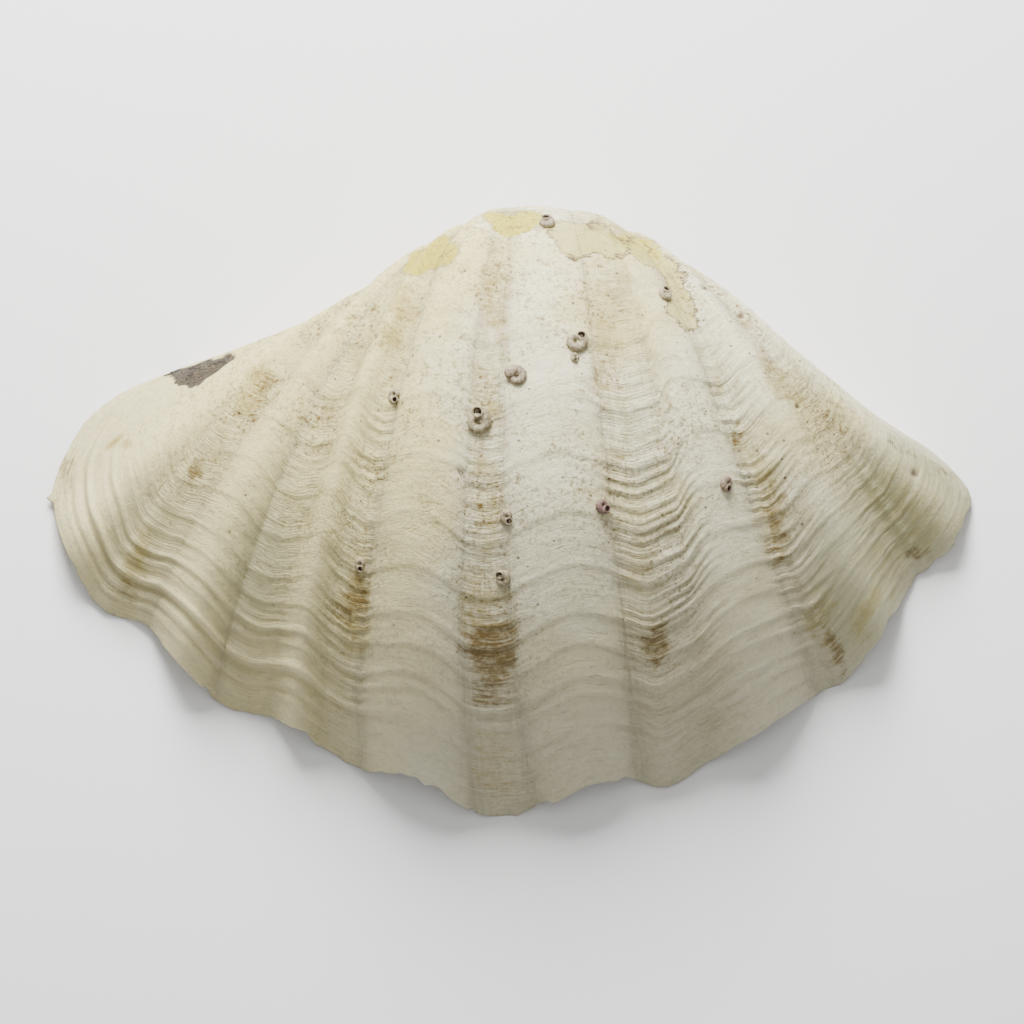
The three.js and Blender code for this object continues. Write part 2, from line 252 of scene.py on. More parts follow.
@dataclass
class GrowthRule:
    """How the valve grew: each growth line is a smaller, turned copy of the margin. Millimetres."""

    coil_middle: float = 1.422
    coil_left_end: float = 1.06
    coil_right_end: float = 1.349
    left_reach: float = 379.0
    right_reach: float = 328.0
    umbo_turn: float = 0.86 * math.pi
    crease_rise: float = 5.0
    rib_ledge: float = 1.0
    rib_lamella: float = 0.06
    end_lamella: float = 0.2
    tip_rise: float = 4.0
    left_tip: tuple[float, float] = (-379.0, -159.0)
    left_tip_bow: float = -27.0
    right_tip: tuple[float, float] = (328.0, -164.0)
    right_tip_bow: float = 14.0
    hinge_middle: tuple[float, float] = (0.0, -14.0)
    hinge_middle_bow: float = -4.0
    left_hinge_bow: float = 6.0
    right_hinge_bow: float = 0.0
    rim_width: float = 16.0
    tip_rim_width: float = 24.0
    hinge_plate_width: float = 40.0
    end_ledge: float = 0.6
    left_hinge: tuple[tuple[float, float], ...] = (
        (-66.0, -3.0), (-127.0, -20.0), (-189.0, -36.0), (-237.0, -48.0),
        (-285.0, -63.0), (-320.0, -77.0), (-343.0, -92.0), (-362.0, -114.0),
    )
    right_hinge: tuple[tuple[float, float], ...] = (
        (316.0, -143.0), (305.0, -132.0), (289.0, -120.0), (258.0, -111.0),
        (212.0, -90.0), (158.0, -78.0), (81.0, -46.0),
    )
    furrows: tuple[Furrow, ...] = (
        Furrow((-345, -245), (-324, -257), (-305, -266), -48, 1.6, 0.25, 0.9, 0.5),
        Furrow((-254, -319), (-231, -330), (-212, -333), -44, 1.8, 0.45, 0.1, 0.8),
        Furrow((-170, -359), (-154, -368), (-141, -374), -40, 1.8, 0.9, 0.8, 0.0),
        Furrow((-53, -407), (-29, -408), (-6, -407), -29, 1.8, 0.8, 0.0, 0.0),
        Furrow((73, -384), (94, -389), (120, -371), 4, 2.6, 1.7, 0.0, 1.1, 16),
        Furrow((208, -316), (220, -309), (231, -304), 18, 2.0, 0.9, 0.0, 0.8),
        Furrow((278, -236), (288, -224), (297, -217), 27, 1.4, 0.4, 0.9, 0.9),
    )
    ribs: tuple[Rib, ...] = (
        Rib((-367, -209), 22), Rib((-279, -296), 30), Rib((-191, -345), 28), Rib((-98, -386), 32),
        Rib((35, -388), 32), Rib((163, -348), 32), Rib((257, -274), 30), Rib((316, -198), 18),
    )
    crowding: float = 1.5
    bow_reach: float = 4.0
    furrow_fade: float = 0.16
    furrow_soft_fade: float = 0.55
    crease_reach_on_rib: float = 0.22
    crease_reach_on_floor: float = 0.35
    flank_parts: int = 11
    floor_parts: int = 4
    hinge_step: float = 9.0

    def marks(self) -> list[Mark]:
        """Lists the margin's marks in order, from the middle of the hinge round by the left end.

        Returns:
            The marks.
        """
        plate, end = self.hinge_plate_width, self.tip_rim_width

        def hinge_mark(at: tuple[float, float], share: float, own_bow: float, tip_bow: float) -> Mark:
            """Makes a mark on the hinge side.

            Args:
                at: Its place in plan.
                share: The share of the way out to the tip.
                own_bow: The bow at the middle of the hinge.
                tip_bow: The bow at the tip.

            Returns:
                The mark.
            """
            bow, inset = between(own_bow, tip_bow, share), between(plate, end, share * share)
            ledge, lamella = self.end_ledge * share, self.end_lamella * share
            return Mark(*at, 0.0, bow, inset, ledge, lamella, MarkKind.HINGE)

        def tip_mark(at: tuple[float, float], bow: float) -> Mark:
            """Makes the mark at an end of the valve."""
            return Mark(*at, self.tip_rise, bow, end, self.end_ledge, self.end_lamella, MarkKind.TIP)

        out = [Mark(*self.hinge_middle, 0.0, self.hinge_middle_bow, plate, 0.0, 0.0, MarkKind.HINGE)]
        for place, at in enumerate(self.left_hinge):
            out.append(hinge_mark(at, place / len(self.left_hinge), self.left_hinge_bow, self.left_tip_bow))
        out.append(tip_mark(self.left_tip, self.left_tip_bow))
        bows = [self.left_tip_bow, *[furrow.bow for furrow in self.furrows], self.right_tip_bow]
        for place, rib in enumerate(self.ribs):
            bow = (bows[place] + bows[place + 1]) / 2
            out.append(Mark(*rib.crest, rib.rise, bow, self.rim_width, self.rib_ledge,
                            self.rib_lamella, MarkKind.CREST))
            out.extend(self.furrow_marks(self.furrows[place:place + 1]))
        out.append(tip_mark(self.right_tip, self.right_tip_bow))
        for place, at in enumerate(self.right_hinge):
            share = 1 - (place + 1) / (len(self.right_hinge) + 1)
            out.append(hinge_mark(at, share, self.right_hinge_bow, self.right_tip_bow))
        return out

    def furrow_marks(self, furrows: tuple[Furrow, ...]) -> list[Mark]:
        """Lists the three marks of each of some furrows.

        Args:
            furrows: The furrows.

        Returns:
            The marks of the left crease, the floor and the right crease.
        """
        out = []
        for furrow in furrows:
            for at, rise, wider, kind, soft in (
                (furrow.left, self.crease_rise, 0.0, MarkKind.CREASE, furrow.left_soft),
                (furrow.middle, 0.0, 0.5, MarkKind.FLOOR, 0.0),
                (furrow.right, self.crease_rise, 1.0, MarkKind.CREASE, furrow.right_soft),
            ):
                bow = furrow.bow + furrow.spread * wider
                out.append(Mark(*at, rise, bow, self.rim_width, furrow.ledge, furrow.lamella, kind, soft))
        return out

    @staticmethod
    def curve(before: float, first: float, second: float, after: float, share: float) -> float:
        """Gives a smooth curve's value between two of four neighbours.

        Args:
            before: The value before the stretch.
            first: The value where the stretch starts.
            second: The value where the stretch ends.
            after: The value after the stretch.
            share: How far along the stretch.

        Returns:
            The curve's value.
        """
        square = share * share
        cube = square * share
        return 0.5 * (2 * first + (second - before) * share
                      + (2 * before - 5 * first + 4 * second - after) * square
                      + (3 * first - before - 3 * second + after) * cube)

    @staticmethod
    def arch_share(start: Mark, end: Mark, share: float) -> float:
        """Eases a height so that a rib is a round arch, which meets its furrow at a crease or softly.

        Args:
            start: The mark before.
            end: The mark after.
            share: How far along the stretch.

        Returns:
            The eased share.
        """
        smooth = 0.5 - 0.5 * math.cos(share * math.pi)
        if start.kind is MarkKind.CREASE and end.kind is MarkKind.CREST:
            crisp = math.sin(share * math.pi / 2)
            return crisp + (smooth - crisp) * start.soft
        if start.kind is MarkKind.CREST and end.kind is MarkKind.CREASE:
            crisp = 1 - math.cos(share * math.pi / 2)
            return crisp + (smooth - crisp) * end.soft
        return smooth

    def furrow_share(self, start: Mark, end: Mark, share: float) -> float:
        """Says how much a place between two marks belongs to a furrow.

        Args:
            start: The mark before.
            end: The mark after.
            share: How far along the stretch.

        Returns:
            1 on a furrow's floor, falling to 0 up its sides.
        """
        low = (MarkKind.CREASE, MarkKind.FLOOR)
        if start.kind in low and end.kind in low:
            return 1.0
        if start.kind is MarkKind.CREASE:
            return math.exp(-(share / (self.furrow_fade + self.furrow_soft_fade * start.soft)) ** 2)
        if end.kind is MarkKind.CREASE:
            return math.exp(-((1 - share) / (self.furrow_fade + self.furrow_soft_fade * end.soft)) ** 2)
        return 0.0

    def crease_share(self, start: Mark, end: Mark, share: float) -> float:
        """Says how close a place between two marks is to a crisp crease.

        Args:
            start: The mark before.
            end: The mark after.
            share: How far along the stretch.

        Returns:
            1 in a crisp crease, falling to 0 within a few millimetres.
        """
        on_rib = MarkKind.CREST in (start.kind, end.kind)
        reach = self.crease_reach_on_rib if on_rib else self.crease_reach_on_floor
        before = (1 - start.soft) * math.exp(-(share / reach) ** 2) * (start.kind is MarkKind.CREASE)
        after = (1 - end.soft) * math.exp(-((1 - share) / reach) ** 2) * (end.kind is MarkKind.CREASE)
        return max(before, after)

    def spaced(self, start: Mark, end: Mark, share: float) -> float:
        """Crowds the columns towards a crease, so that it stays crisp.

        Args:
            start: The mark before.
            end: The mark after.
            share: How far along the stretch in even steps.

        Returns:
            The share after crowding.
        """
        if start.kind is MarkKind.CREASE:
            return share ** self.crowding
        if end.kind is MarkKind.CREASE:
            return 1 - (1 - share) ** self.crowding
        return share

    def parts_between(self, start: Mark, end: Mark) -> int:
        """Gives how many columns the stretch between two marks has.

        Args:
            start: The mark before.
            end: The mark after.

        Returns:
            The number of columns.
        """
        if MarkKind.CREST in (start.kind, end.kind):
            return self.flank_parts
        if MarkKind.FLOOR in (start.kind, end.kind):
            return self.floor_parts
        length = math.hypot(end.x - start.x, end.y - start.y)
        return max(2, round(length / self.hinge_step))

    def columns(self) -> Columns:
        """Spaces the surface's columns along the margin.

        Returns:
            The columns as arrays.
        """
        marks = self.marks()
        rows: list[tuple[float, ...]] = []
        for place, start in enumerate(marks):
            end = marks[(place + 1) % len(marks)]
            before, after = marks[place - 1], marks[(place + 2) % len(marks)]
            parts = self.parts_between(start, end)
            for step in range(parts):
                share = self.spaced(start, end, step / parts)
                arch = self.arch_share(start, end, share)
                furrow = self.furrow_share(start, end, share)
                by_crease = MarkKind.CREASE in (start.kind, end.kind)
                side = start if start.kind is MarkKind.CREASE else end
                plain = between(start.lamella, end.lamella, share)
                fine = between(self.rib_lamella, side.lamella, furrow)
                eased = 0.5 - 0.5 * math.cos(share * math.pi)
                rows.append((
                    self.curve(before.x, start.x, end.x, after.x, share),
                    self.curve(before.y, start.y, end.y, after.y, share),
                    between(start.rise, end.rise, arch),
                    between(start.bow, end.bow, eased),
                    between(start.inset, end.inset, share),
                    between(start.ledge, end.ledge, share),
                    fine if by_crease else plain,
                    furrow,
                    self.crease_share(start, end, share),
                    between(VALLEY_SHARES.get(start.kind, 0.0), VALLEY_SHARES.get(end.kind, 0.0), arch),
                    float(MarkKind.HINGE in (start.kind, end.kind)),
                ))
        return Columns(*[np.array(value) for value in zip(*rows)])

    def coil(self, x: np.ndarray) -> np.ndarray:
        """Gives how fast each column coils.

        Args:
            x: Each column's margin point's x.

        Returns:
            The rate of each.
        """
        end = np.where(x < 0, self.coil_left_end, self.coil_right_end)
        reach = np.where(x < 0, self.left_reach, self.right_reach)
        return self.coil_middle + (end - self.coil_middle) * np.minimum(1.0, (x / reach) ** 2)


@dataclass(frozen=True)
class Value:
    """A value in a node tree that takes plain arithmetic, one Math node for each sign."""

    tree: bpy.types.NodeTree
    socket: bpy.types.NodeSocket

    def __add__(self, other: Self | float) -> Self:
        """Adds."""
        return operated(self.tree, "ADD", self, other)

    def __sub__(self, other: Self | float) -> Self:
        """Subtracts."""
        return operated(self.tree, "SUBTRACT", self, other)

    def __rsub__(self, other: float) -> Self:
        """Subtracts from a number."""
        return operated(self.tree, "SUBTRACT", other, self)

    def __mul__(self, other: Self | float) -> Self:
        """Multiplies."""
        return operated(self.tree, "MULTIPLY", self, other)

    def __truediv__(self, other: Self | float) -> Self:
        """Divides."""
        return operated(self.tree, "DIVIDE", self, other)


def connect(tree: bpy.types.NodeTree, socket: bpy.types.NodeSocket, value: object) -> None:
    """Links an input to a value of the tree, or sets it plain.

    Args:
        tree: The node tree.
        socket: The input.
        value: A value of the tree, or a number, colour, name or material.
    """
    if isinstance(value, Value):
        tree.links.new(value.socket, socket)
    else:
        socket.default_value = value


def operated(
    tree: bpy.types.NodeTree, operation: str, *values: object, kind: str = "ShaderNodeMath"
) -> Value:
    """Adds a Math or Vector Math node.

    Args:
        tree: The node tree.
        operation: The operation's name.
        *values: What its inputs take, in order.
        kind: The node's type name.

    Returns:
        The result.
    """
    made = tree.nodes.new(kind)
    made.operation = operation
    for socket, value in zip(made.inputs, values):
        connect(tree, socket, value)
    return Value(tree, made.outputs[0])


@dataclass(frozen=True)
class NodePlan:
    """Adds nodes to a material's or a geometry tree in few words."""

    tree: bpy.types.NodeTree

    def node(self, kind: str, **values: object) -> bpy.types.Node:
        """Adds a node and sets its plain properties.

        Args:
            kind: The node's type name.
            **values: Properties by name.

        Returns:
            The new node.
        """
        made = self.tree.nodes.new(kind)
        for name, value in values.items():
            setattr(made, name, value)
        return made

    def take(self, made: bpy.types.Node, name: str | int = 0) -> Value:
        """Takes one of a node's outputs."""
        return Value(self.tree, made.outputs[name])

    def feed(self, made: bpy.types.Node, **values: object) -> bpy.types.Node:
        """Links a node's inputs to values, or sets them plain.

        Args:
            made: The node.
            **values: Values, numbers, colours or materials by the input's name, with _ for a space.

        Returns:
            The node.
        """
        for name, value in values.items():
            connect(self.tree, made.inputs[name.replace("_", " ")], value)
        return made

    def math(self, operation: str, *values: Value | float) -> Value:
        """Adds a Math node."""
        return operated(self.tree, operation, *values)

    def vector(self, operation: str, *values: Value | tuple[float, ...]) -> Value:
        """Adds a Vector Math node."""
        return operated(self.tree, operation, *values, kind="ShaderNodeVectorMath")

    def scaled(self, vector: Value, factor: Value | float) -> Value:
        """Scales a vector by a number."""
        made = self.node("ShaderNodeVectorMath", operation="SCALE")
        return self.take(self.feed(made, Vector=vector, Scale=factor))

    def joined(self, x: Value, y: Value, z: Value | float = 0.0) -> Value:
        """Makes a vector out of numbers."""
        return self.take(self.feed(self.node("ShaderNodeCombineXYZ"), X=x, Y=y, Z=z))

    def mask(self, name: str) -> Value:
        """Reads one of the mesh's own number attributes in a material."""
        return self.take(self.node("ShaderNodeAttribute", attribute_name=name), "Fac")

    def number(self, name: str, kind: str = "FLOAT") -> Value:
        """Reads a named attribute in a geometry tree."""
        made = self.node("GeometryNodeInputNamedAttribute", data_type=kind)
        return self.take(self.feed(made, Name=name), "Attribute")

    def where(self) -> Value:
        """Reads the object's own coordinates in a material."""
        return self.take(self.node("ShaderNodeTexCoord"), "Object")

    def noise(self, where: Value, scale: float, detail: float = 4.0, roughness: float = 0.55) -> Value:
        """Adds a noise pattern.

        Args:
            where: The coordinates.
            scale: Lumps per metre.
            detail: How many finer layers.
            roughness: How strong the finer layers are.

        Returns:
            The pattern's value.
        """
        made = self.node("ShaderNodeTexNoise")
        self.feed(made, Vector=where, Scale=scale, Detail=detail, Roughness=roughness)
        return self.take(made, "Fac")

    def ramp(self, value: Value, low: float, high: float) -> Value:
        """Eases a stretch of values from 0 at low to 1 at high."""
        made = self.node("ShaderNodeMapRange", interpolation_type="SMOOTHSTEP")
        return self.take(self.feed(made, Value=value, From_Min=low, From_Max=high))

    def layered(self, under: object, layers: tuple[tuple[Value, Colour], ...]) -> Value | Colour:
        """Lays colours over each other.

        Args:
            under: The ground, a colour or a value.
            layers: The share and the tint of each layer.

        Returns:
            The colour.
        """
        colour = under
        for share, tint in layers:
            made = self.node("ShaderNodeMix", data_type="RGBA", blend_type="MIX", clamp_factor=True)
            colour = self.take(self.feed(made, Factor=share, A=colour, B=tint), "Result")
        return colour

    def bumped(self, shader: bpy.types.Node, height: Value, strength: float) -> None:
        """Gives a shader fine relief.

        Args:
            shader: The shader.
            height: The relief's height in metres.
            strength: How much of it shows.
        """
        bump = self.feed(self.node("ShaderNodeBump"), Height=height, Distance=1.0, Strength=strength)
        self.feed(shader, Normal=self.take(bump, "Normal"))


def new_material(name: str, roughness: float) -> tuple[bpy.types.Material, NodePlan, bpy.types.Node]:
    """Makes an empty material with its shader.

    Args:
        name: The material's name.
        roughness: The shader's roughness.

    Returns:
        The material, its node plan and its shader node.
    """
    material = bpy.data.materials.new(name)
    material.use_nodes = True
    shader = material.node_tree.nodes["Principled BSDF"]
    shader.inputs["Roughness"].default_value = roughness
    return material, NodePlan(material.node_tree), shader


@dataclass(frozen=True)
class ShapeTree:
    """A geometry tree with named inputs, which turns an object into a plain mesh."""

    name: str
    inputs: dict[str, str]
    material: bpy.types.Material

    def start(self) -> tuple[NodePlan, Callable[[str], Value]]:
        """Starts the tree.

        Returns:
            The plan of its nodes, and a function that reads an input by name.
        """
        tree = bpy.data.node_groups.new(self.name, "GeometryNodeTree")
        tree.interface.new_socket("Geometry", in_out="INPUT", socket_type="NodeSocketGeometry")
        for name, kind in self.inputs.items():
            tree.interface.new_socket(name, in_out="INPUT", socket_type="NodeSocket" + kind)
        tree.interface.new_socket("Geometry", in_out="OUTPUT", socket_type="NodeSocketGeometry")
        plan = NodePlan(tree)
        entry = plan.node("NodeGroupInput")
        return plan, lambda name: plan.take(entry, name)

    def finish(self, plan: NodePlan, geometry: Value) -> bpy.types.NodeTree:
        """Ends the tree: real geometry with its material.

        Args:
            plan: The plan of its nodes.
            geometry: What the tree has made.

        Returns:
            The tree.
        """
        real = plan.feed(plan.node("GeometryNodeRealizeInstances"), Geometry=geometry)
        paint = plan.node("GeometryNodeSetMaterial")
        plan.feed(paint, Geometry=plan.take(real), Material=self.material)
        plan.feed(plan.node("NodeGroupOutput"), Geometry=plan.take(paint))
        return plan.tree


def run_tree(made: bpy.types.Object, tree: bpy.types.NodeTree, values: dict[str, object]) -> None:
    """Runs a geometry tree on an object and keeps the result as its plain mesh.

    Args:
        made: The object, whose mesh the tree takes in.
        tree: The tree.
        values: The tree's inputs by name.
    """
    bpy.context.scene.collection.objects.link(made)
    modifier = made.modifiers.new("shape", "NODES")
    modifier.node_group = tree
    for item in tree.interface.items_tree:
        if item.name in values:
            modifier[item.identifier] = values[item.name]
    evaluated = made.evaluated_get(bpy.context.evaluated_depsgraph_get())
    plain = bpy.data.meshes.new_from_object(evaluated)
    made.modifiers.remove(modifier)
    made.data = plain


def write_numbers(mesh: bpy.types.Mesh, name: str, values: np.ndarray) -> None:
    """Writes a number or a vector for each point of a mesh.

    Args:
        mesh: The mesh.
        name: The attribute's name.
        values: One number, or three, per point.
    """
    kind, slot = ("FLOAT", "value") if values.ndim == 1 else ("FLOAT_VECTOR", "vector")
    flat = np.ascontiguousarray(values, dtype=np.float32).reshape(-1)
    mesh.attributes.new(name, kind, "POINT").data.foreach_set(slot, flat)


def turn_outward(mesh: bpy.types.Mesh) -> None:
    """Turns a closed mesh's faces outwards and shades it smooth.

    Args:
        mesh: The mesh.
    """
    work = bmesh.new()
    work.from_mesh(mesh)
    if work.calc_volume(signed=True) < 0:
        bmesh.ops.reverse_faces(work, faces=work.faces)
    work.to_mesh(mesh)
    work.free()
    mesh.shade_smooth()


def ring_faces(rows: int, count: int) -> list[tuple[int, ...]]:
    """Lists the faces between rings of points that follow each other.

    Args:
        rows: How many rings.
        count: How many points each ring has.

    Returns:
        The faces, with four corners each.
    """
    faces = []
    for row in range(rows - 1):
        for column in range(count):
            here, after = row * count + column, row * count + (column + 1) % count
            faces.append((here, after, after + count, here + count))
    return faces


@dataclass
class GrowthTree:
    """The geometry tree that lays each point by the growth rule and then adds its relief."""

    rule: GrowthRule
    shift: tuple[float, float]
    material: bpy.types.Material

    def __post_init__(self) -> None:
        """Builds the tree once."""
        self.tree = self.make()

    def make(self) -> bpy.types.NodeTree:
        """Builds the tree.

        Returns:
            The tree, with inputs for the umbo's turn, the place in plan and the strength of the relief.
        """
        inputs = {"Umbo Turn": "Float", "Place": "Vector", "Relief": "Float"}
        shape = ShapeTree("grow_valve", inputs, self.material)
        plan, entry = shape.start()
        coil, margin_y, rise = plan.number("coil"), plan.number("margin_y"), plan.number("rise")
        youngest = plan.math("EXPONENT", entry("Umbo Turn") / coil * -1.0)
        size = (1.0 - youngest) * plan.number("share") + youngest
        turn = coil * plan.math("LOGARITHM", plan.math("DIVIDE", 1.0, size), math.e)
        cosine, sine = plan.math("COSINE", turn), plan.math("SINE", turn)
        place = plan.joined(
            size * (plan.number("margin_x") + plan.number("bow") * ((1.0 - size) * self.rule.bow_reach)),
            size * (margin_y * cosine + rise * sine),
            size * (rise * cosine - margin_y * sine),
        )
        lay = plan.node("GeometryNodeSetPosition")
        plan.feed(lay, Geometry=entry("Geometry"), Selection=plan.number("grown"),
                  Position=plan.scaled(plan.vector("ADD", place, entry("Place")), MM))
        proud = plan.node("GeometryNodeSetPosition")
        plan.feed(proud, Geometry=plan.take(lay),
                  Offset=plan.scaled(plan.number("relief", VECTOR), entry("Relief")))
        return shape.finish(plan, plan.take(proud))

    def run(self, made: bpy.types.Object, columns: Columns, shares: np.ndarray, relief: np.ndarray) -> None:
        """Lays an object's first points by the rule; any points after them stay where they are.

        Args:
            made: The object, with one point for each row and column first.
            columns: The margin's columns.
            shares: For each row and column, the share of the way from the umbo to the margin.
            relief: How far each point moves off the smooth surface, in metres.
        """
        mesh = made.data
        rest = len(mesh.vertices) - shares.size
        numbers = {
            "share": shares, "coil": self.rule.coil(columns.x), "bow": columns.bow, "margin_x": columns.x,
            "margin_y": columns.y, "rise": columns.rise, "grown": np.ones(1),
        }
        for name, value in numbers.items():
            full = np.broadcast_to(value, shares.shape).reshape(-1)
            write_numbers(mesh, name, np.concatenate([full, np.zeros(rest)]))
        write_numbers(mesh, "relief", np.concatenate([relief.reshape(-1, 3), np.zeros((rest, 3))]))
        place = (*self.shift, 0.0)
        run_tree(made, self.tree, {"Umbo Turn": self.rule.umbo_turn, "Place": place, "Relief": 1.0})
        for name in (*numbers, "relief"):
            made.data.attributes.remove(made.data.attributes[name])

    def smooth(self, columns: Columns, shares: np.ndarray) -> np.ndarray:
        """Gives the smooth surface's points.

        Args:
            columns: The margin's columns.
            shares: For each row and column, the share of the way from the umbo to the margin.

        Returns:
            The points in the growth rule's own millimetres, rows by columns by three.
        """
        mesh = bpy.data.meshes.new("growth_lines")
        mesh.vertices.add(shares.size)
        made = bpy.data.objects.new("growth_lines", mesh)
        self.run(made, columns, shares, np.zeros((*shares.shape, 3)))
        flat = np.empty(shares.size * 3, dtype=np.float32)
        made.data.vertices.foreach_get("co", flat)
        bpy.data.objects.remove(made)
        return flat.reshape(*shares.shape, 3) / MM - np.array([*self.shift, 0.0])


@dataclass
class GrowthWeave:
    """Noise patterns drawn out along the shell's growth lines or across them."""

    plan: NodePlan
    where: Value
    check_count: float = 13.0
    check_width: float = 0.09

    def __post_init__(self) -> None:
        """Makes the patterns once, so that colour and relief share them."""
        self.fine = self.drawn(0.045, 0.75, 4.0)
        self.middle = self.drawn(0.022, 0.20, 5.0)
        self.broad = self.drawn(0.012, 0.035, 3.0)
        self.dash = self.drawn(0.30, 1.1, 2.0)
        self.radial = self.drawn(0.35, 0.03, 3.0)
        self.grain = self.plan.noise(self.where, 190.0, 8.0, 0.75)
        self.dirt = self.plan.noise(self.where, 330.0, 8.0, 0.8)
        levels = self.plan.math("FRACT", self.drawn(0.007, 0.05, 3.0) * self.check_count)
        off = self.plan.math("ABSOLUTE", levels - 0.5)
        near = 1.0 - self.plan.ramp(off, 0.0, self.check_width)
        self.check = near * self.plan.ramp(self.middle, 0.40, 0.60)

    def drawn(self, across: float, along: float, detail: float) -> Value:
        """Makes one pattern.

        Args:
            across: Lumps per millimetre along the growth lines.
            along: Lumps per millimetre from one growth line to the next.
            detail: How many finer layers.

        Returns:
            The pattern's value.
        """
        place = self.plan.joined(self.plan.mask("across") * across, self.plan.mask("distance") * along)
        return self.plan.noise(place, 1.0, detail, 0.6)


@dataclass(frozen=True)
class StainLook:
    """How one colour's patches look: their tint, their strength and how broken their edges are."""

    kind: StainKind
    tint: Colour
    strength: float
    low_edge: float
    high_edge: float
    broken: float
    rim: float = 0.0


@dataclass(frozen=True)
class ShellFinish:
    """The valve's chalky outer face, satin margin, stains and porcelain inside.

    The scales are lumps per metre, and a share in a layer is how much of its tint shows.
    """

    chalk: Colour = linear(234, 228, 190)
    cream: Colour = linear(223, 210, 144)
    # Partly the margin's own grey, partly painted shade for the lower band.
    margin_grey_and_shade: Colour = linear(208, 201, 170)
    dust: Colour = linear(170, 156, 92)
    line: Colour = linear(134, 116, 72)
    speck: Colour = linear(116, 90, 36)
    ochre: Colour = linear(112, 86, 30)
    pit: Colour = linear(84, 62, 42)
    # Used both for the chalk's darker grain and for painted shade in the furrows and along the creases.
    shade: Colour = linear(158, 152, 128)
    porcelain: Colour = linear(240, 237, 226)
    chalk_roughness: float = 0.72
    cloud_scale: float = 9.0
    mottle_scale: float = 42.0
    dirt_scale: float = 15.0
    drift_scale: float = 14.0
    freckle_scale: float = 330.0
    spot_scale: float = 120.0
    dash_scale: float = 24.0
    pit_scale: float = 150.0
    pit_size: float = 0.19
    pit_rarity: float = 0.66
    rim_width: float = 0.08
    fine_height: float = 0.0018
    middle_height: float = 0.0011
    grain_height: float = 0.0016
    check_depth: float = 0.0003
    pit_depth: float = 0.0005
    stains: tuple[StainLook, ...] = (
        StainLook(StainKind.SAGE, linear(176, 174, 132), 0.75, 0.10, 0.70, 0.6),
        StainLook(StainKind.YELLOW, linear(186, 172, 18), 0.82, 0.30, 0.40, 0.9, 0.5),
        StainLook(StainKind.TAN, linear(158, 138, 62), 0.85, 0.10, 0.78, 1.5),
        StainLook(StainKind.BROWN, linear(108, 84, 22), 0.92, 0.20, 0.80, 2.3),
        StainLook(StainKind.FLAKE, linear(186, 176, 92), 0.62, 0.30, 0.36, 1.3, 1.0),
        StainLook(StainKind.CRUST, linear(56, 48, 38), 0.97, 0.30, 0.34, 0.03, 0.3),
    )

    def make(self) -> bpy.types.Material:
        """Builds the shell's material.

        Returns:
            The material.
        """
        material, plan, shader = new_material("chalky_shell", self.chalk_roughness)
        shader.inputs["Specular IOR Level"].default_value = 0.4
        low = plan.ramp(plan.mask("age"), 0.45, 0.92)
        inside = plan.mask("inside")
        weave = GrowthWeave(plan, plan.where())
        pits = self.pits(weave)
        colour = self.specked(weave, self.stained(weave, self.ground(weave, low)))
        colour = plan.layered(colour, (
            (pits * 0.75, self.pit),
            # Painted shade: the shallow bored holes are darkened to stand for their unlit depth.
            (plan.mask("hole") * 0.9, self.pit),
            (inside, self.porcelain),
        ))
        plan.feed(shader, Base_Color=colour, Roughness=self.chalk_roughness - low * 0.24 - inside * 0.2)
        furrow = plan.mask("furrow") * 0.85 + 0.08
        height = weave.fine * self.fine_height * furrow + weave.middle * self.middle_height
        height = height + weave.grain * self.grain_height
        height = height - weave.check * self.check_depth - pits * self.pit_depth
        plan.bumped(shader, height * (1.0 - inside * 0.9), 0.8)
        return material

    def ground(self, weave: GrowthWeave, low: Value) -> Value:
        """Lays the chalk, cream and grey ground with its growth lines, painted shade in the furrows and along
        the creases, and grey towards the margin that is partly painted shade.

        Args:
            weave: The patterns that follow the growth lines.
            low: How close the place is to the margin.

        Returns:
            The colour.
        """
        plan, where = weave.plan, weave.where
        furrow, valley = plan.mask("furrow"), plan.mask("valley")
        across = plan.take(plan.feed(plan.node("ShaderNodeSeparateXYZ"), Vector=where), "X")
        left = plan.ramp(across, 0.02, -0.2)
        upper = 1.0 - low
        creamy = plan.noise(where, self.cloud_scale, 3.0) + left * 0.42
        mottle = plan.ramp(plan.noise(where, self.mottle_scale, 8.0, 0.68), 0.44, 0.68)
        lines = plan.ramp(weave.fine, 0.50, 0.66) * plan.ramp(weave.broad, 0.35, 0.60)
        fibres = plan.ramp(weave.radial, 0.46, 0.62) * furrow * upper
        dirt = plan.ramp(weave.dirt, 0.47, 0.62) * plan.ramp(plan.noise(where, self.dirt_scale), 0.38, 0.60)
        crease = plan.mask("crease") * (plan.ramp(weave.radial, 0.35, 0.62) + 0.5)
        return plan.layered(self.chalk, (
            (plan.ramp(creamy, 0.42, 0.66), self.cream),
            (mottle * (furrow * 0.60 + 0.18) * (upper * 0.75 + 0.25), self.dust),
            # Greyer towards the margin: partly the margin's own grey, partly painted shade where the lower
            # band slopes away from the top light.
            (low * (0.9 - left * 0.6), self.margin_grey_and_shade),
            (lines * (furrow * 0.32 + 0.08), self.line),
            (fibres * plan.ramp(weave.dirt, 0.35, 0.6) * 0.5, self.dust),
            (dirt * (valley * 0.40 + 0.34) * (upper * 0.7 + 0.3), self.line),
            (plan.ramp(weave.grain, 0.40, 0.70) * 0.26, self.shade),
            (weave.check * 0.34, self.line),
            # Darker in the troughs between lamellae, by how far the relief sits below its neighbours.
            (plan.mask("groove") * plan.ramp(weave.broad, 0.2, 0.6) * 0.20, self.line),
            # Painted shade: darker on the furrow floors and along the crisp creases where the rib flanks meet
            # them.
            (valley * 0.14, self.shade),
            (crease * 0.30, self.shade),
        ))

